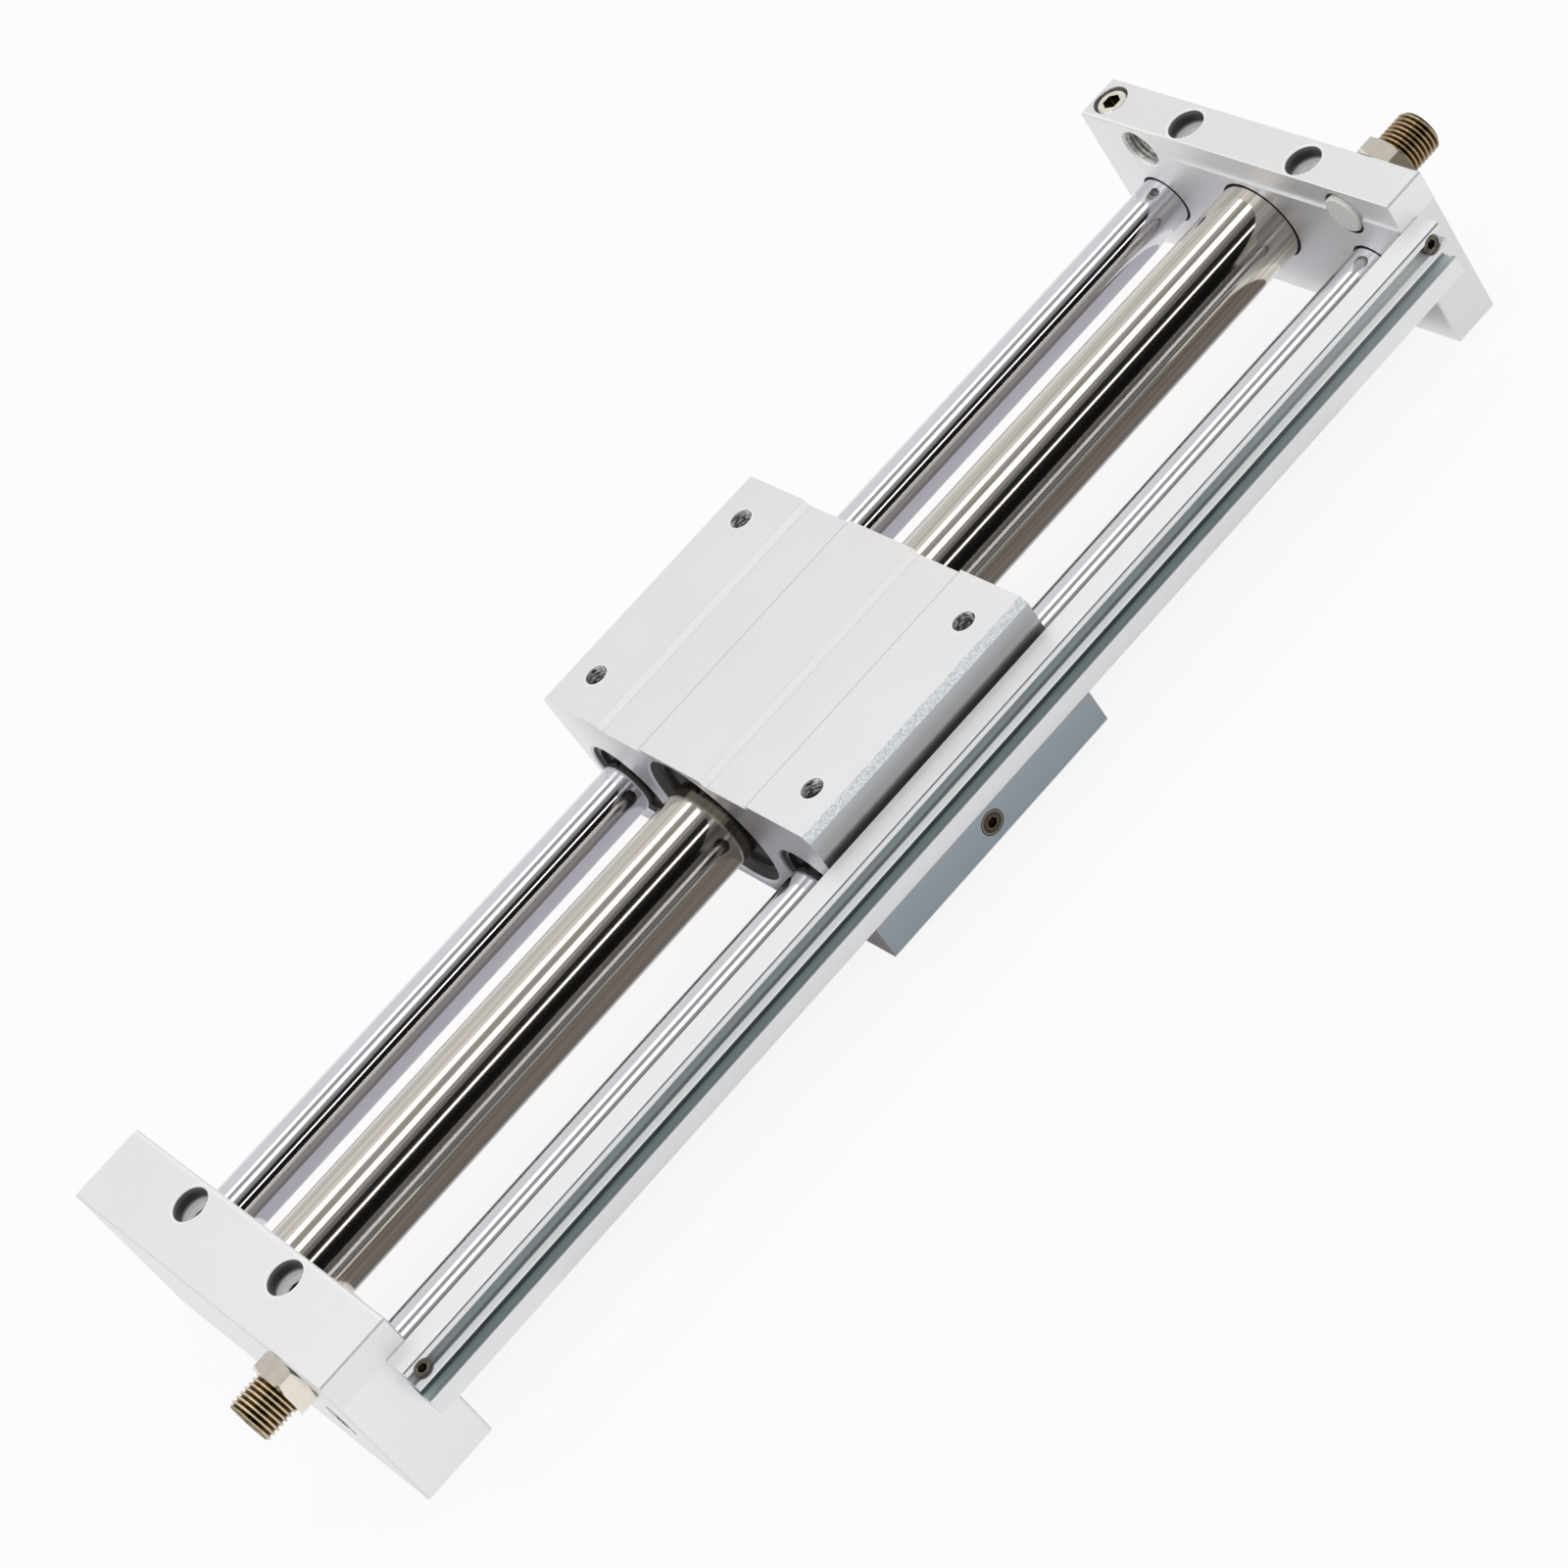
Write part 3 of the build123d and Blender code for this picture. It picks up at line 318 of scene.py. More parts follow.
# End plates
# Two plates sawn from thick aluminium bar, milled on every face, bead blasted and clear anodised.
# The edges are rubbed bright. Each counterbore has painted shade on its walls and in its hole, a
# painted light floor, painted light and shade on its far wall and a painted highlight on its rim.
# The gaps round tube, shafts and stud carry painted shade, the side wall above the rail painted
# light, and plate A is a darker copy as painted shade.
def between(value, low, high):
    """1 where a value lies between two limits."""
    return (value > low) & (value < high)


def disc(u, v, centre, radius):
    """1 inside a circle on the plane of two coordinates."""
    du = u - centre[0]
    dv = v - centre[1]
    return (du * du + dv * dv) < radius * radius


def rubbed_edges(x, y, z, low, high, width):
    """1 on the edges of a box: where a point lies within a width of two faces at once."""
    faces = 0.0
    for value, near, far in zip((x, y, z), low, high):
        faces = (value < near + width) + (value > far - width) + faces
    return faces > 1.5


def satin_aluminium(name, colour, roughness, marks=None, lines=(1.0, 1.0, 1.0), metal=0.9):
    """Fine blasted grain in the tone, the roughness and a shallow bump. Marks are places with a
    tone, a roughness and a metallic share of their own, and a later mark covers an earlier one."""
    material, look = new_material(name)
    place = look.place()
    lined = look.place(lines)
    grain = look.node("TexNoise", inputs={"Vector": lined, "Scale": 2.4, "Detail": 3.0})
    cloud = look.node("TexNoise", inputs={"Vector": place, "Scale": 0.03, "Detail": 2.0})
    shade = tuple(c * 0.955 for c in colour)
    changes = cloud * 0.6 + grain * 0.4
    tone = look.node("ValToRGB", {"stops": [(0.3, shade), (0.7, colour)]}, {"Fac": changes})
    rough = roughness + (grain - 0.5) * 0.10
    share = metal
    if marks:
        x, y, z = look.outputs("SeparateXYZ", inputs={"Vector": place})
        for mask, mark_tone, mark_rough, mark_metal in marks(look, x, y, z):
            tone = look.blend(mask, tone, mark_tone)
            rough = rough + mask * (mark_rough - rough)
            share = share + mask * (mark_metal - share)
    bump = look.node("Bump", inputs={"Height": grain, "Strength": 0.25, "Distance": 0.04 * mm})
    look.finish(
        look.node(
            "BsdfPrincipled",
            inputs={"Base Color": tone, "Metallic": share, "Roughness": rough, "Normal": bump},
        )
    )
    return material


def dress(material, *names):
    """Gives the surfaces of CAD nodes their finish."""
    for name in names:
        mesh = nodes[name].data
        mesh.materials.clear()
        mesh.materials.append(material)


def box_mm(name):
    """A node's lowest and highest corner in millimetres."""
    low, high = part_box(name)
    return np.array(low) / mm, np.array(high) / mm


# Axes that run along X are given by their place on Y and Z.
tube_axis = (0.0, 28.2)
shaft_axes = ((44.3, 23.0), (-44.3, 23.0))
stud_axis = (-42.5, 43.5)
# A mark on a face takes in what lies within the skin of it.
face_skin = 0.05
bolt_side = 24.5
bolt_inset = 7.2
counterbore_radius, counterbore_rim, counterbore_depth = 5.62, 6.15, 6.5
rim_depth, floor_skin, hole_lead = 0.4, 0.1, 0.15
wall_ramp_depth = 7.0
tube_gap_radius, shaft_gap_radius, gap_depth = 13.82, 8.62, 0.65
crescent_radius, crescent_split, crescent_depth = 7.0, 3.4, 0.9
rail_seat_top = 42.3
edge_width = 0.42
milled_depth = 1.2
plug_axis_y = 57.5
plug_ring_radius, plug_ring_bottom = 5.38, 44.0
plate_colour = (0.85, 0.85, 0.86)
edge_tone = (0.74, 0.74, 0.76)
painted_gap_shade = (0.035, 0.035, 0.035)
black_painted_shade = (0.03, 0.03, 0.03)


def plate_marks(low, high, inner, outward):
    """The rubbed edges of a plate, its counterbores in painted shade and light, painted light on the side
    wall, and painted shade in the gaps round tube, shafts and stud.
    """

    def just_inside(x, depth):
        """1 from just before the inner face to a depth behind it."""
        behind = inner + outward * depth
        return between(x, min(inner - 0.1, behind), max(inner + 0.1, behind))

    def marks(look, x, y, z):
        top = high[2]
        beside_middle = (z > stud_axis[1] + crescent_split) | (z < stud_axis[1] - crescent_split)
        stud_shade_crescents = disc(y, z, stud_axis, crescent_radius) & beside_middle
        painted_light_side_wall = (y < low[1] + face_skin) & (z > rail_seat_top)
        outer = low[0] if outward < 0 else high[0]
        outer_face = between(x, outer - face_skin, outer + face_skin)
        gaps = disc(y, z, tube_axis, tube_gap_radius)
        for axis in shaft_axes:
            gaps = gaps | disc(y, z, axis, shaft_gap_radius)
        station = inner + outward * bolt_inset
        bores, shaded, rims = 0.0, 0.0, 0.0
        for side in (bolt_side, -bolt_side):
            bore = disc(x, y, (station, side), counterbore_radius)
            bores = bore | bores
            shaded = (bore & (y > side - 1.0)) | shaded
            rims = disc(x, y, (station, side), counterbore_rim) | rims
        rims = rims & (z > top - rim_depth)
        bore_floor = top - counterbore_depth
        shaded = shaded & between(z, bore_floor + floor_skin, top - rim_depth)
        down = (top - z) * (1 / wall_ramp_depth)
        # Painted light and shade down the far wall of each counterbore.
        painted_far_wall = look.node(
            "ValToRGB",
            {
                "stops": [
                    (0.05, (0.07, 0.07, 0.07)), (0.13, (0.20, 0.205, 0.20)), (0.30, (0.055, 0.058, 0.055)),
                    (0.56, (0.045, 0.045, 0.043)), (0.66, (0.35, 0.35, 0.34)), (0.74, (0.97, 0.97, 0.96)),
                ]
            },
            {"Fac": down},
        )
        edges = rubbed_edges(x, y, z, low, high, edge_width)
        return [
            (between(x, inner - milled_depth, inner + milled_depth), plate_colour, 0.50, 0.8),
            (outer_face, (0.745, 0.745, 0.77), 0.33, 0.9),
            (edges, edge_tone, 0.40, 0.7),
            # Painted highlight: each counterbore's chamfered rim is painted white.
            (rims, (0.97, 0.97, 0.97), 0.4, 0.1),
            # Painted shade on the counterbore walls and in the hole below, and a painted light floor.
            (bores & (z < top - rim_depth), (0.40, 0.40, 0.39), 0.40, 0.10),
            (bores & (z < bore_floor + floor_skin), (1.0, 1.0, 0.99), 0.40, 0.10),
            (shaded, painted_far_wall, 0.40, 0.10),
            (bores & (z < bore_floor - hole_lead), black_painted_shade, 0.45, 0.3),
            # Painted shade in crescents above and below the stud.
            (just_inside(x, crescent_depth) & stud_shade_crescents, black_painted_shade, 0.5, 0.2),
            # Painted light: the side wall above the rail is painted white.
            (painted_light_side_wall, (0.97, 0.97, 0.98), 0.45, 0.2),
            # Painted shade in the gaps round the tube and the shafts.
            (just_inside(x, gap_depth) & gaps, painted_gap_shade, 0.5, 0.3),
        ]

    return marks


def ported_marks(low, high, inner, outward):
    """Plate A's marks, with black round the plug in the mouth of its top port, and a darker foot as painted
    shade.
    """
    shared = plate_marks(low, high, inner, outward)

    def marks(look, x, y, z):
        station = (low[0] + high[0]) / 2
        ring = disc(x, y, (station, plug_axis_y), plug_ring_radius)
        ring = ring & (z > plug_ring_bottom) & (z < high[2] - 0.02)
        foot = (y < low[1] + face_skin) & (z < rail_seat_top)
        return shared(look, x, y, z) + [
            (ring, (0.012, 0.012, 0.012), 0.45, 0.0),
            # Painted shade: plate A's front face below the rail seat is darker.
            (foot, (0.72, 0.72, 0.74), 0.33, 0.9),
        ]

    return marks


low, high = box_mm("plate_a")
face_a, outer_a = low[0], high[0]
# Painted shade: plate A is a darker copy of plate B's tone.
plate_a_darker = tuple(c * 0.94 for c in plate_colour)
plate_roughness = 0.33
a_marks = ported_marks(low, high, face_a, 1)
dress(satin_aluminium("plate_a_satin", plate_a_darker, plate_roughness, a_marks), "plate_a")
low, high = box_mm("plate_b")
face_b, outer_b = high[0], low[0]
b_marks = plate_marks(low, high, face_b, -1)
dress(satin_aluminium("plate_b_satin", plate_colour, plate_roughness, b_marks), "plate_b")
side_left = high[1]


# Threads in the plates
# The spare holes for a second adjusting bolt, and the two air ports, all tapped in the plates.
def helix_grid(start, end, valley, crest, pitch, around, across):
    """A thread on a grid of angles by points along the axis. The station grows by one pitch in one
    turn, and by one pitch over as many points as lie across it. The radius goes from valley to crest
    and back once in a pitch, and never leaves the valley by more than the distance to the nearer
    end. Stations past an end are held at it."""
    turns = int(np.ceil((end - start) / pitch)) + 2
    row = np.arange(turns * across + 1)
    column = np.arange(around)
    station = start - pitch + pitch * (row[None, :] / across + column[:, None] / around)
    held = np.clip(station, start, end)
    valley_share, flank_share = 0.12, 0.7
    ridge = 1 - 2 * np.abs((row % across) / across - 0.5)
    height = np.clip((ridge - valley_share) / flank_share, 0, 1) * abs(crest - valley)
    reach = np.minimum(held - start, end - held)
    radius = valley + np.sign(crest - valley) * np.minimum(height[None, :], reach)
    return held, radius, across


def ring_grid(rings, around):
    """A turned form on the same grid of angles: each ring is a station and a radius, and the radius
    may be a function of the angle."""
    angle = np.arange(around) / around * 2 * np.pi
    station = np.array([[x] * around for x, r in rings]).T
    radius = np.array([r(angle) if callable(r) else np.full(around, r) for x, r in rings]).T
    return station, radius, 0


weld_gap, tiny_edge = 0.002, 0.001
crease = float(np.radians(38))


def turned_piece(name, sets, material):
    """One mesh from sets of grids. A point lies at its station on the axis through the origin, and at
    its radius from the axis, towards its angle. Angles start at the first direction and turn about
    the axis. A grid's last angle joins its first one, moved on by the grid's shift, which for a
    thread is one pitch. A set whose inward is true has its faces turned to the axis."""
    points, faces, count = [], [], 0
    for origin, along, first, inward, grids in sets:
        along, first = np.array(along, float), np.array(first, float)
        second = np.cross(along, first)
        for station, radius, shift in grids:
            around, rows = station.shape
            angle = (np.arange(around) / around * 2 * np.pi)[:, None, None]
            spoke = np.cos(angle) * first + np.sin(angle) * second
            grid = np.array(origin) + station[:, :, None] * along + radius[:, :, None] * spoke
            points.append(grid.reshape(-1, 3) * mm)
            index = np.arange(around * rows).reshape(around, rows) + count
            count += around * rows
            joined = np.vstack([index, np.r_[index[0, shift:], np.full(shift, -1)]])
            corners = [joined[:-1, :-1], joined[1:, :-1], joined[1:, 1:], joined[:-1, 1:]]
            quads = np.stack(corners, axis=-1).reshape(-1, 4)
            quads = quads[(quads >= 0).all(axis=1)]
            faces.append(quads[:, ::-1] if inward else quads)
    mesh = bpy.data.meshes.new(name)
    mesh.from_pydata(np.vstack(points).tolist(), [], np.vstack(faces).tolist())
    welded = bmesh.new()
    welded.from_mesh(mesh)
    bmesh.ops.remove_doubles(welded, verts=welded.verts, dist=weld_gap * mm)
    bmesh.ops.dissolve_degenerate(welded, edges=welded.edges, dist=tiny_edge * mm)
    for face in welded.faces:
        face.smooth = True
    for edge in welded.edges:
        edge.smooth = len(edge.link_faces) == 2 and edge.calc_face_angle(0.0) < crease
    welded.to_mesh(mesh)
    welded.free()
    mesh.materials.append(material)
    piece = bpy.data.objects.new(name, mesh)
    bpy.context.collection.objects.link(piece)
    return piece


def cut_thread(name, colour, oiled=0.55):
    """Bare metal from the tap: bright crests, with dark cutting oil left between them."""
    material, look = new_material(name)
    noise = look.node("TexNoise", inputs={"Vector": look.place(), "Scale": 0.7, "Detail": 3.0})
    dark = tuple(c * oiled for c in colour)
    tone = look.node("ValToRGB", {"stops": [(0.40, dark), (0.60, colour)]}, {"Fac": noise})
    look.finish(
        look.node(
            "BsdfPrincipled",
            inputs={"Base Color": tone, "Metallic": 0.85, "Roughness": 0.34 + noise * 0.15},
        )
    )
    return material


spare_axis = (-stud_axis[0], stud_axis[1])
spare_radius, spare_ridge, spare_pitch = 6.19, 0.75, 1.5
spare_mouth = 0.75
port_radius, port_ridge, port_pitch = 4.565, 0.45, 0.907
port_depth, port_lead = 7.0, 0.1
tube_port_end = 7.5
tap_bright = cut_thread("plate_thread_cut", (0.66, 0.65, 0.62))


def spare_thread(start, end):
    """The thread of a spare hole, between two stations on X."""
    ridge = spare_radius - spare_ridge
    grid = helix_grid(start, end, spare_radius, ridge, spare_pitch, around=72, across=8)
    return ((0, *spare_axis), (1, 0, 0), (0, 1, 0), True, [grid])


def port_thread(origin, along, first, start, end):
    """The thread of an air port, between two stations along its own axis."""
    ridge = port_radius - port_ridge
    grid = helix_grid(start, end, port_radius, ridge, port_pitch, around=60, across=6)
    return (origin, along, first, True, [grid])


plate_threads = turned_piece(
    "plate_threads",
    [
        spare_thread(face_a + spare_mouth, outer_a - spare_mouth),
        spare_thread(outer_b + spare_mouth, face_b - spare_mouth),
        port_thread((0, *tube_axis), (1, 0, 0), (0, 1, 0), face_a + tube_port_end, outer_a - port_lead),
        port_thread(
            ((face_a + outer_a) / 2, 0, shaft_axes[0][1]), (0, 1, 0), (0, 0, 1),
            side_left - port_depth, side_left - port_lead,
        ),
    ],
    tap_bright,
)
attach(plate_threads, "frame")


# Tube
# Thin stainless tube, drawn and then polished along its length, with a warm tone.
def drawn_metal(name, colour, roughness, streak, depth=0.004, cross=0.55, along=0.002):
    """Streaks along X: noise stretched along the tube in the tone, the roughness and the bump."""
    material, look = new_material(name)
    drawn = look.place((along, cross, cross))
    streaks = look.node("TexNoise", inputs={"Vector": drawn, "Scale": 1.0, "Detail": 1.5, "Roughness": 0.5})
    shade = tuple(c * (1 - streak) for c in colour)
    tone = look.node("ValToRGB", {"stops": [(0.36, shade), (0.64, colour)]}, {"Fac": streaks})
    bump = look.node("Bump", inputs={"Height": streaks, "Strength": 0.3, "Distance": depth * mm})
    look.finish(
        look.node(
            "BsdfPrincipled",
            inputs={
                "Base Color": tone, "Metallic": 1.0, "Roughness": roughness + (streaks - 0.5) * roughness,
                "Normal": bump,
            },
        )
    )
    return material


tube_colour = (0.68, 0.635, 0.575)
stainless = drawn_metal("tube_stainless", tube_colour, 0.085, streak=0.30, depth=0.001, cross=0.9)
dress(stainless, "cylinder_tube")

# Guide shafts
# Two ground steel shafts with hard chrome, almost a mirror, one hollow and one solid.
shaft_colour = (0.70, 0.70, 0.73)
chrome = drawn_metal("shaft_chrome", shaft_colour, 0.06, streak=0.05, depth=0.001)
dress(chrome, "guide_shaft_left", "guide_shaft_right")

# Switch rail
# A thin aluminium extrusion, clear anodised, with a screw slot above and a switch slot below. The
# slots keep the dull grey-green tone of an extrusion that no tool has touched, with painted shade and
# light by depth and a painted reflection that lightens them towards plate A. The back face is
# painted dark as shade.
rail_colour = (0.87, 0.87, 0.87)
rail_low, rail_high = box_mm("switch_rail")
rail_face, rail_top = rail_low[1], rail_high[2]
screw_slot = (rail_top - 5.9, rail_top - 2.1)
switch_slot = (rail_top - 13.8, rail_top - 7.6)
screw_slot_back, switch_slot_back = rail_face + 3.6, rail_face + 5.2
slot_mouth = 0.35
slot_skin = 0.1
rubbed_width, rubbed_height = 0.75, 0.12
lip_depth, lip_top, lip_bottom = 0.36, 0.35, 0.62
lighter_from, lighter_reach = 105.0, 90.0


def rail_marks(look, x, y, z):
    """The tones inside the two slots, in painted shade and light by depth and lighter towards plate A as a
    painted reflection, a rubbed upper edge, and painted shade on the back face.
    """
    upper = between(z, screw_slot[0] - face_skin, screw_slot[1] + face_skin)
    upper = upper & between(y, rail_face + slot_mouth, screw_slot_back + slot_skin)
    lower = between(z, switch_slot[0] - slot_skin, switch_slot[1] + slot_skin)
    lower = lower & between(y, rail_face + slot_mouth, switch_slot_back + slot_skin)
    # Painted shade and light: the slot tones below go by depth into each slot.
    upper_depth = (y - rail_face) * (1 / (screw_slot_back - rail_face))
    upper_tone = look.node(
        "ValToRGB",
        {
            "stops": [
                (0.05, (0.60, 0.64, 0.66)), (0.15, (0.22, 0.24, 0.25)), (0.33, (0.25, 0.27, 0.28)),
                (0.50, (0.56, 0.61, 0.63)), (0.82, (0.63, 0.69, 0.71)), (0.97, (0.55, 0.60, 0.62)),
            ]
        },
        {"Fac": upper_depth},
    )
    lower_depth = (y - rail_face) * (1 / (switch_slot_back - rail_face))
    lower_tone = look.node(
        "ValToRGB",
        {
            "stops": [
                (0.04, (0.66, 0.70, 0.72)), (0.15, (0.38, 0.44, 0.45)), (0.40, (0.60, 0.69, 0.71)),
                (0.52, (0.63, 0.73, 0.75)), (0.80, (0.55, 0.64, 0.66)), (0.95, (0.14, 0.17, 0.18)),
            ]
        },
        {"Fac": lower_depth},
    )
    # Painted reflection: the slots grow lighter towards plate A.
    painted_light_towards_ports = look.node("Clamp", inputs={"Value": (x - lighter_from) * (1 / lighter_reach)})
    upper_tone = look.blend(painted_light_towards_ports * 0.7, upper_tone, (0.88, 0.90, 0.89))
    lower_tone = look.blend(painted_light_towards_ports * 0.4, lower_tone, (0.86, 0.88, 0.87))
    at_front = y < rail_face + 0.1
    front = at_front & (z < rail_top - lip_top)
    rib = at_front & between(z, switch_slot[1], screw_slot[0])
    lip_line = (y < rail_face + lip_depth) & between(z, rail_top - lip_bottom, rail_top - rubbed_height)
    back = y > rail_high[1] - 0.1
    top = (z > rail_top - 0.1) & (y > rail_face + rubbed_width)
    top_edge = (y < rail_face + rubbed_width) & (z > rail_top - rubbed_height)
    return [
        (front, (0.77, 0.77, 0.78), 0.30, 0.9),
        (rib, (0.64, 0.65, 0.66), 0.30, 0.9),
        (lip_line, (0.30, 0.30, 0.31), 0.35, 0.9),
        (top, (0.87, 0.87, 0.87), 0.36, 0.25),
        (top_edge, (0.95, 0.95, 0.96), 0.35, 0.4),
        # Painted shade: the back face is painted dark.
        (back, (0.30, 0.30, 0.30), 0.40, 0.8),
        (upper, upper_tone, 0.55, 0.1),
        (lower, lower_tone, 0.55, 0.1),
    ]


extruded = (0.02, 1.0, 1.0)
rail_satin = satin_aluminium("switch_rail_satin", rail_colour, 0.33, rail_marks, lines=extruded, metal=0.65)
dress(rail_satin, "switch_rail")


# Rail screws, shaft screws and plugs
# Rail screws in dark plated steel, zinc plated screws that hold the shafts, and nickel plated
# plugs. The plug in the top port is darker inside its socket.
socket_tone = (0.20, 0.16, 0.07)
shaded_face_tone = (0.17, 0.15, 0.115)


def plated_metal(name, colour, roughness, dirt=0.14, pit=0.006, waver=0.15, socket=None, flat=None):
    """Plating over metal: slow changes of tone and roughness, and fine pits. A socket is a place on
    the plan, a radius and a height, within and below which the plating is darker. A flat is the
    angle and distance from the stud's axis of one side of a nut that is painted dark as shade."""
    material, look = new_material(name)
    cloud = look.node("TexNoise", inputs={"Vector": look.place(), "Scale": 0.35, "Detail": 4.0})
    pits = look.node("TexNoise", inputs={"Vector": look.place(), "Scale": 2.6, "Detail": 2.0})
    shade = tuple(c * (1 - dirt) for c in colour)
    tone = look.node("ValToRGB", {"stops": [(0.35, shade), (0.65, colour)]}, {"Fac": cloud})
    x, y, z = look.outputs("SeparateXYZ", inputs={"Vector": look.place()})
    if socket:
        centre, radius, top = socket
        tone = look.blend(disc(x, y, centre, radius) & (z < top), tone, socket_tone)
    if flat:
        turned, distance = np.radians(flat[0]), flat[1]
        sideways = (y - stud_axis[0]) * float(np.cos(turned))
        upwards = (z - stud_axis[1]) * float(np.sin(turned))
        tone = look.blend((sideways + upwards) > distance, tone, shaded_face_tone)
    bump = look.node("Bump", inputs={"Height": pits, "Strength": 0.25, "Distance": pit * mm})
    look.finish(
        look.node(
            "BsdfPrincipled",
            inputs={
                "Base Color": tone, "Metallic": 1.0, "Roughness": roughness + (cloud - 0.5) * waver,
                "Normal": bump,
            },
        )
    )
    return material


dress(plated_metal("screw_dark", (0.15, 0.135, 0.11), 0.18, dirt=0.6), "rail_screws")
dress(
    plated_metal("screw_zinc", (0.42, 0.42, 0.43), 0.30),
    "shaft_end_screws", "shaft_grub_screws", "piston_nuts",
)
plug_low, plug_high = box_mm("top_pipe_plug")
dark_socket_radius, dark_socket_drop = 2.8, 0.3
plug_socket = ((plug_low[:2] + plug_high[:2]) / 2, dark_socket_radius, plug_high[2] - dark_socket_drop)
plug_nickel = plated_metal("plug_nickel", (0.82, 0.78, 0.70), 0.26, dirt=0.10, socket=plug_socket)
dress(plug_nickel, "top_pipe_plug", "passage_plug")

# Side screw
# A small blackened screw, coloured in bronze rings of darker and lighter tone by the distance from the
# middle of its head.
block_middle = 7.6
side_screw_height, side_screw_radius = 9.2, 3.5


def ringed_bronze(name):
    """Bronze by the distance from the middle of the screw's head."""
    material, look = new_material(name)
    x, y, z = look.outputs("SeparateXYZ", inputs={"Vector": look.place()})
    dx, dz = x - block_middle, z - side_screw_height
    from_middle = (dx * dx + dz * dz) * (1 / side_screw_radius ** 2)
    tone = look.node(
        "ValToRGB",
        {
            "stops": [
                (0.16, (0.09, 0.065, 0.045)), (0.24, (0.34, 0.26, 0.18)), (0.42, (0.12, 0.085, 0.055)),
                (0.70, (0.20, 0.15, 0.10)), (0.90, (0.55, 0.47, 0.38)),
            ]
        },
        {"Fac": from_middle},
    )
    cloud = look.node("TexNoise", inputs={"Vector": look.place(), "Scale": 1.2, "Detail": 3.0})
    rough = 0.25 + cloud * 0.2
    inputs = {"Base Color": tone, "Metallic": 1.0, "Roughness": rough}
    look.finish(look.node("BsdfPrincipled", inputs=inputs))
    return material


dress(ringed_bronze("side_screw_bronze"), "side_plug_screw")

# Adjusting bolts, lock nuts and soft tips
# Fully threaded studs with a hexagon socket, plated a warm nickel tone that has dulled to brown
# between the threads. Stud A's plating is a darker copy as painted shade, and one face of nut A is
# painted dark as shade. A thin nut locks each one, and its cast tip takes the blow of the block.
stud_root, stud_crest, stud_pitch = 5.98, 6.9, 1.5
stud_hex, stud_hex_depth = 3.0, 6.0
corner_ratio = 0.866
socket_break, socket_cone = 0.25, 0.8
stem_radius, stem_depth = 3.02, 6.0
stud_around = 72


def stud_plating(name, root, flank, crest):
    """Nickel by the height in the thread: its tone goes from the root over the flank to the crest."""
    material, look = new_material(name)
    x, y, z = look.outputs("SeparateXYZ", inputs={"Vector": look.place()})
    dy, dz = y - stud_axis[0], z - stud_axis[1]
    thread_depth = stud_crest ** 2 - stud_root ** 2
    depth_share = (dy * dy + dz * dz - stud_root ** 2) * (1 / thread_depth)
    cloud = look.node("TexNoise", inputs={"Vector": look.place(), "Scale": 0.5, "Detail": 4.0})
    tone = look.node(
        "ValToRGB",
        {"stops": [(0.05, root), (0.45, flank), (0.95, crest)]},
        {"Fac": depth_share + (cloud - 0.5) * 0.6},
    )
    rough = 0.18 + cloud * 0.15
    inputs = {"Base Color": tone, "Metallic": 1.0, "Roughness": rough}
    look.finish(look.node("BsdfPrincipled", inputs=inputs))
    return material


def hexagon(apothem):
    """The radius of a hexagon at an angle: its apothem divided by the cosine of the angle to the
    middle of the nearest side."""
    sixth = np.pi / 3
    return lambda angle: apothem / np.cos((angle + sixth / 2) % sixth - sixth / 2)


def stud(name, node, body, outward, plating):
    """A stud from its tip inside the plate to its end outside, both read from its CAD node."""
    low, high = box_mm(node)
    length = high[0] - low[0]
    tip = low[0] if outward > 0 else high[0]
    stem = [(stem_depth, 0.0), (stem_depth, stem_radius), (0.0, stem_radius), (0.0, stud_root)]
    mouth = stud_hex / corner_ratio + socket_break
    bottom = length - stud_hex_depth
    socket = [
        (length, stud_root), (length, mouth), (length - socket_break, hexagon(stud_hex)),
        (bottom, hexagon(stud_hex)), (bottom - socket_cone, 0.0),
    ]
    grids = [
        ring_grid(stem, stud_around),
        helix_grid(0.0, length, stud_root, stud_crest, stud_pitch, around=stud_around, across=8),
        ring_grid(socket, stud_around),
    ]
    piece = turned_piece(name, [((tip, *stud_axis), (outward, 0, 0), (0, 1, 0), False, grids)], plating)
    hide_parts(node)
    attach(piece, body)


# Painted shade: stud A's plating is a darker copy of stud B's, which is the lit copy.
stud_a_shaded = stud_plating("stud_a_shaded_plating", (0.05, 0.035, 0.018), (0.22, 0.155, 0.08), (0.48, 0.37, 0.23))
bright = stud_plating("stud_b_lit_plating", (0.10, 0.070, 0.035), (0.38, 0.29, 0.17), (0.76, 0.65, 0.48))
stud("threaded_stud_a", "adjusting_bolt_a", "stop_screw_a", 1, stud_a_shaded)
stud("threaded_stud_b", "adjusting_bolt_b", "stop_screw_b", -1, bright)
nut_tone, nut_rough = (0.82, 0.76, 0.67), 0.17
nut_calm = {"dirt": 0.05, "pit": 0.0004, "waver": 0.03}
# Painted shade: one face of nut A is painted dark.
nut_a_shaded_face = (167, 8.42)
dress(plated_metal("nut_a_plating", nut_tone, nut_rough, flat=nut_a_shaded_face, **nut_calm), "lock_nut_a")
dress(plated_metal("nut_b_plating", nut_tone, nut_rough, **nut_calm), "lock_nut_b")


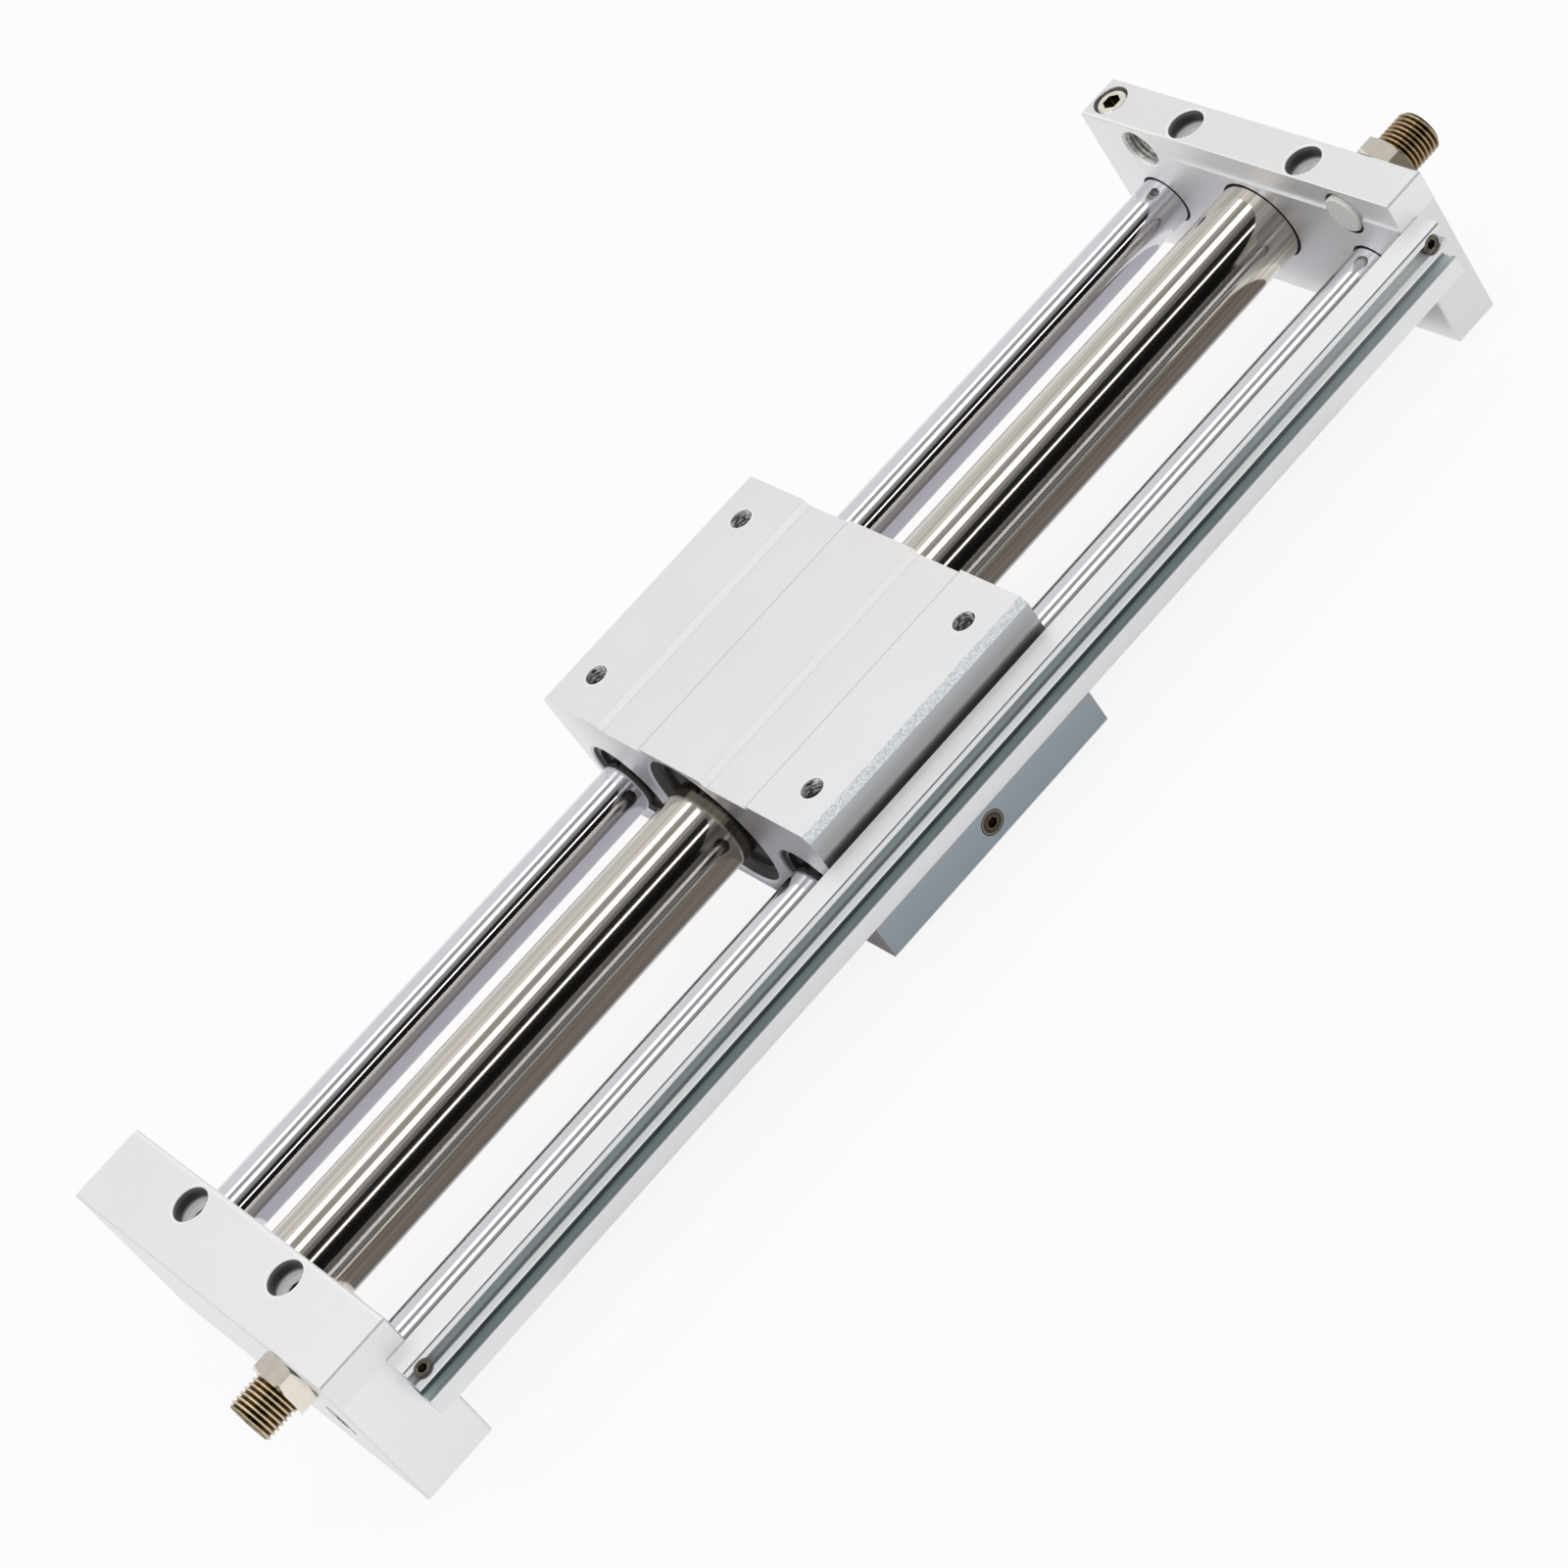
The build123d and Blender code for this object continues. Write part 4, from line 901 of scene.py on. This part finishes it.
def moulded(name, colour, roughness, grain=0.9):
    """Moulded plastic or rubber: a fine matt grain in the tone, the roughness and the bump."""
    material, look = new_material(name)
    speckle = look.node("TexNoise", inputs={"Vector": look.place(), "Scale": grain, "Detail": 3.0})
    shade = tuple(c * 0.85 for c in colour)
    tone = look.node("ValToRGB", {"stops": [(0.3, shade), (0.7, colour)]}, {"Fac": speckle})
    bump = look.node("Bump", inputs={"Height": speckle, "Strength": 0.3, "Distance": 0.05 * mm})
    look.finish(
        look.node(
            "BsdfPrincipled",
            inputs={"Base Color": tone, "Roughness": roughness + (speckle - 0.5) * 0.2, "Normal": bump},
        )
    )
    return material


dress(moulded("tip_urethane", (0.86, 0.86, 0.83), 0.45), "bumper_a", "bumper_b", "piston_bumpers")

# Slide block
# A block cut from a wide aluminium extrusion, its ends milled, clear anodised to a warm light grey.
# The walls of the two shallow recesses carry a painted highlight, the ends a painted gradient of
# shade and light, the front face painted shade, and the bores painted shade and light. The long top
# corner keeps a sawn strip.
block_low, block_high = box_mm("slide_block")
block_colour = (0.81, 0.80, 0.79)
recess_inner, recess_outer, recess_depth = 16.0, 33.2, 1.8
recess_line = 0.28
corner_cut = 2.0
hole_along, hole_aside = 30.0, 50.0
table_holes = [(block_middle + sx * hole_along, sy * hole_aside) for sx in (-1, 1) for sy in (-1, 1)]
deburr_radius, deburr_depth = 3.75, 0.6
tube_bore_radius, shaft_bore_radius = 24.0, 14.9
mouth_depth = 0.6
mouth_clear, bore_clear, painted_light_clear = 3.0, 0.8, 0.6
painted_light_depth, painted_light_above, painted_light_left = 3.0, 9.0, 10.0
front_ramp_height = 9.0
thin_skin = 0.03


def block_marks(look, x, y, z):
    """Milled ends with a painted gradient of shade and light, painted highlights on the recess walls
    with a painted shadow line beside two of them, the front face in painted shade, the sawn corner,
    the bright deburred table holes, and painted shade in the bores with painted light on the tube
    bore's upper wall near the ends."""
    top = block_high[2]
    ends = (x < block_low[0] + thin_skin) | (x > block_high[0] - thin_skin)
    # Painted shade and light: a gradient across Y on each end.
    end_painted_shade = look.node(
        "ValToRGB",
        {
            "stops": [
                (0.05, (0.62, 0.62, 0.64)), (0.40, (0.52, 0.52, 0.54)), (0.72, (0.60, 0.60, 0.62)),
                (0.95, (0.80, 0.80, 0.82)),
            ]
        },
        {"Fac": (y - block_low[1]) * (1 / (block_high[1] - block_low[1]))},
    )
    # Painted highlight on the recess walls, and a painted shadow line on the top face beside two of them.
    wall_height = between(z, top - recess_depth + face_skin, top - thin_skin)
    walls = between(y, recess_inner - recess_depth, recess_inner)
    walls = walls | between(y, recess_outer, recess_outer + recess_depth)
    walls = walls | between(y, -recess_inner, recess_depth - recess_inner)
    walls = walls | between(y, -recess_outer - recess_depth, -recess_outer)
    lines = between(y, recess_inner - recess_depth - recess_line, recess_inner - recess_depth)
    lines = lines | between(y, -recess_outer - recess_depth - recess_line, -recess_outer - recess_depth)
    lines = lines & (z > top - thin_skin)
    corner = (y < block_low[1] + corner_cut + 0.1) & (z > top - corner_cut - face_skin)
    drawn_out = look.place((0.8, 1.0, 1.0))
    mottle = look.node("TexNoise", inputs={"Vector": drawn_out, "Scale": 2.0, "Detail": 1.0})
    sawn_stops = [(0.40, (0.62, 0.70, 0.74)), (0.58, (0.90, 0.92, 0.93))]
    sawn = look.node("ValToRGB", {"stops": sawn_stops}, {"Fac": mottle})
    # Painted shade: the front face is darker, with a painted gradient of light and shade above the rail.
    front = y < block_low[1] + face_skin
    above_rail = front & (z > rail_seat_top - 0.3)
    front_painted_shade = look.node(
        "ValToRGB",
        {
            "stops": [
                (0.20, (0.82, 0.82, 0.83)), (0.33, (0.58, 0.58, 0.595)), (0.45, (0.52, 0.525, 0.54)),
                (0.90, (0.53, 0.535, 0.555)),
            ]
        },
        {"Fac": (z - rail_seat_top) * (1 / front_ramp_height)},
    )
    rings = 0.0
    for hole in table_holes:
        rings = disc(x, y, hole, deburr_radius) | rings
    rings = rings & (z > top - deburr_depth)
    # Painted shade inside the bores, and painted light on the tube bore's upper wall near each end.
    tube_bore = disc(y, z, tube_axis, tube_bore_radius)
    bores = tube_bore
    for axis in shaft_axes:
        bores = bores | disc(y, z, axis, shaft_bore_radius)
    inside = between(x, block_low[0] + mouth_depth, block_high[0] - mouth_depth)
    at_mouths = (x < block_low[0] + mouth_depth) | (x > block_high[0] - mouth_depth)
    mouths = bores & at_mouths & (z < top - mouth_clear)
    bore_painted_light = tube_bore & (z > tube_axis[1] + painted_light_above) & (y < painted_light_left)
    bore_painted_light = bore_painted_light & (z < top - painted_light_clear)
    bore_painted_light = bore_painted_light & ((x < block_low[0] + painted_light_depth) | (x > block_high[0] - painted_light_depth))
    bore_painted_light = bore_painted_light & between(x, block_low[0] + face_skin, block_high[0] - face_skin)
    return [
        (ends, end_painted_shade, 0.42, 1.0),
        (front, (0.72, 0.76, 0.76), 0.34, 0.95),
        (above_rail, front_painted_shade, 0.34, 0.95),
        (wall_height & walls, (0.97, 0.97, 0.98), 0.6, 0.0),
        (lines, (0.45, 0.45, 0.45), 0.4, 0.9),
        (corner, sawn, 0.55, 0.2),
        (rings, (0.95, 0.95, 0.95), 0.4, 0.2),
        (mouths, (0.62, 0.62, 0.66), 0.35, 1.0),
        (bores & inside & (z < top - bore_clear), (0.24, 0.235, 0.225), 0.42, 0.3),
        (bore_painted_light, (0.93, 0.92, 0.90), 0.45, 0.1),
    ]


dress(satin_aluminium("slide_block_satin", block_colour, 0.38, block_marks), "slide_block")

# Threads in the block
# Four tapped holes for the load that the block carries.
load_thread_depth, load_thread_top = 12.6, 0.5
load_radius, load_ridge, load_pitch = 3.39, 0.48, 1.25
load_grid = helix_grid(
    0.0, load_thread_depth - load_thread_top, load_radius, load_radius - load_ridge, load_pitch,
    around=48, across=6,
)
load_bottom = block_high[2] - load_thread_depth
table_threads = turned_piece(
    "table_threads",
    [((*hole, load_bottom), (0, 0, 1), (1, 0, 0), True, [load_grid]) for hole in table_holes],
    cut_thread("block_thread_cut", (0.66, 0.66, 0.65), oiled=0.15),
)
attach(table_threads, "table")

# Seals, cages, scrapers and wear rings
# Black rubber and plastic rings deep in the bores, and brown plastic rings that slide on the tube.
dress(
    moulded("seal_rubber", (0.022, 0.022, 0.024), 0.6),
    "tube_seal_rings", "shaft_seal_rings", "bushing_seals", "piston_seals",
)
dress(moulded("scraper_plastic", (0.060, 0.056, 0.050), 0.45), "slider_scrapers", "bushing_cages")
dress(moulded("wear_ring_plastic", (0.20, 0.16, 0.12), 0.5), "slider_wear_rings", "piston_wear_rings")

# Bushings, retaining rings, magnets and pistons
# Hardened and ground steel, black spring steel, nickel plated magnets and turned aluminium.
dress(
    drawn_metal("bearing_steel", (0.30, 0.30, 0.31), 0.22, streak=0.12),
    "ball_bushing_left_a", "ball_bushing_left_b", "ball_bushing_right_a", "ball_bushing_right_b",
)
soft_iron = drawn_metal("soft_iron", (0.50, 0.50, 0.51), 0.24, streak=0.12)
dress(soft_iron, "piston_rod", "slider_yokes", "piston_yokes")
dress(plated_metal("clip_black", (0.16, 0.16, 0.155), 0.38), "bushing_clips", "slider_clips")
dress(
    plated_metal("magnet_nickel", (0.60, 0.60, 0.62), 0.25),
    "slider_magnets", "piston_magnets", "switch_magnet",
)
dress(
    satin_aluminium("turned_aluminium", (0.72, 0.72, 0.74), 0.3, lines=(3.0, 0.2, 0.2)),
    "slider_sleeve", "slider_spacers", "piston_body_a", "piston_body_b",
)
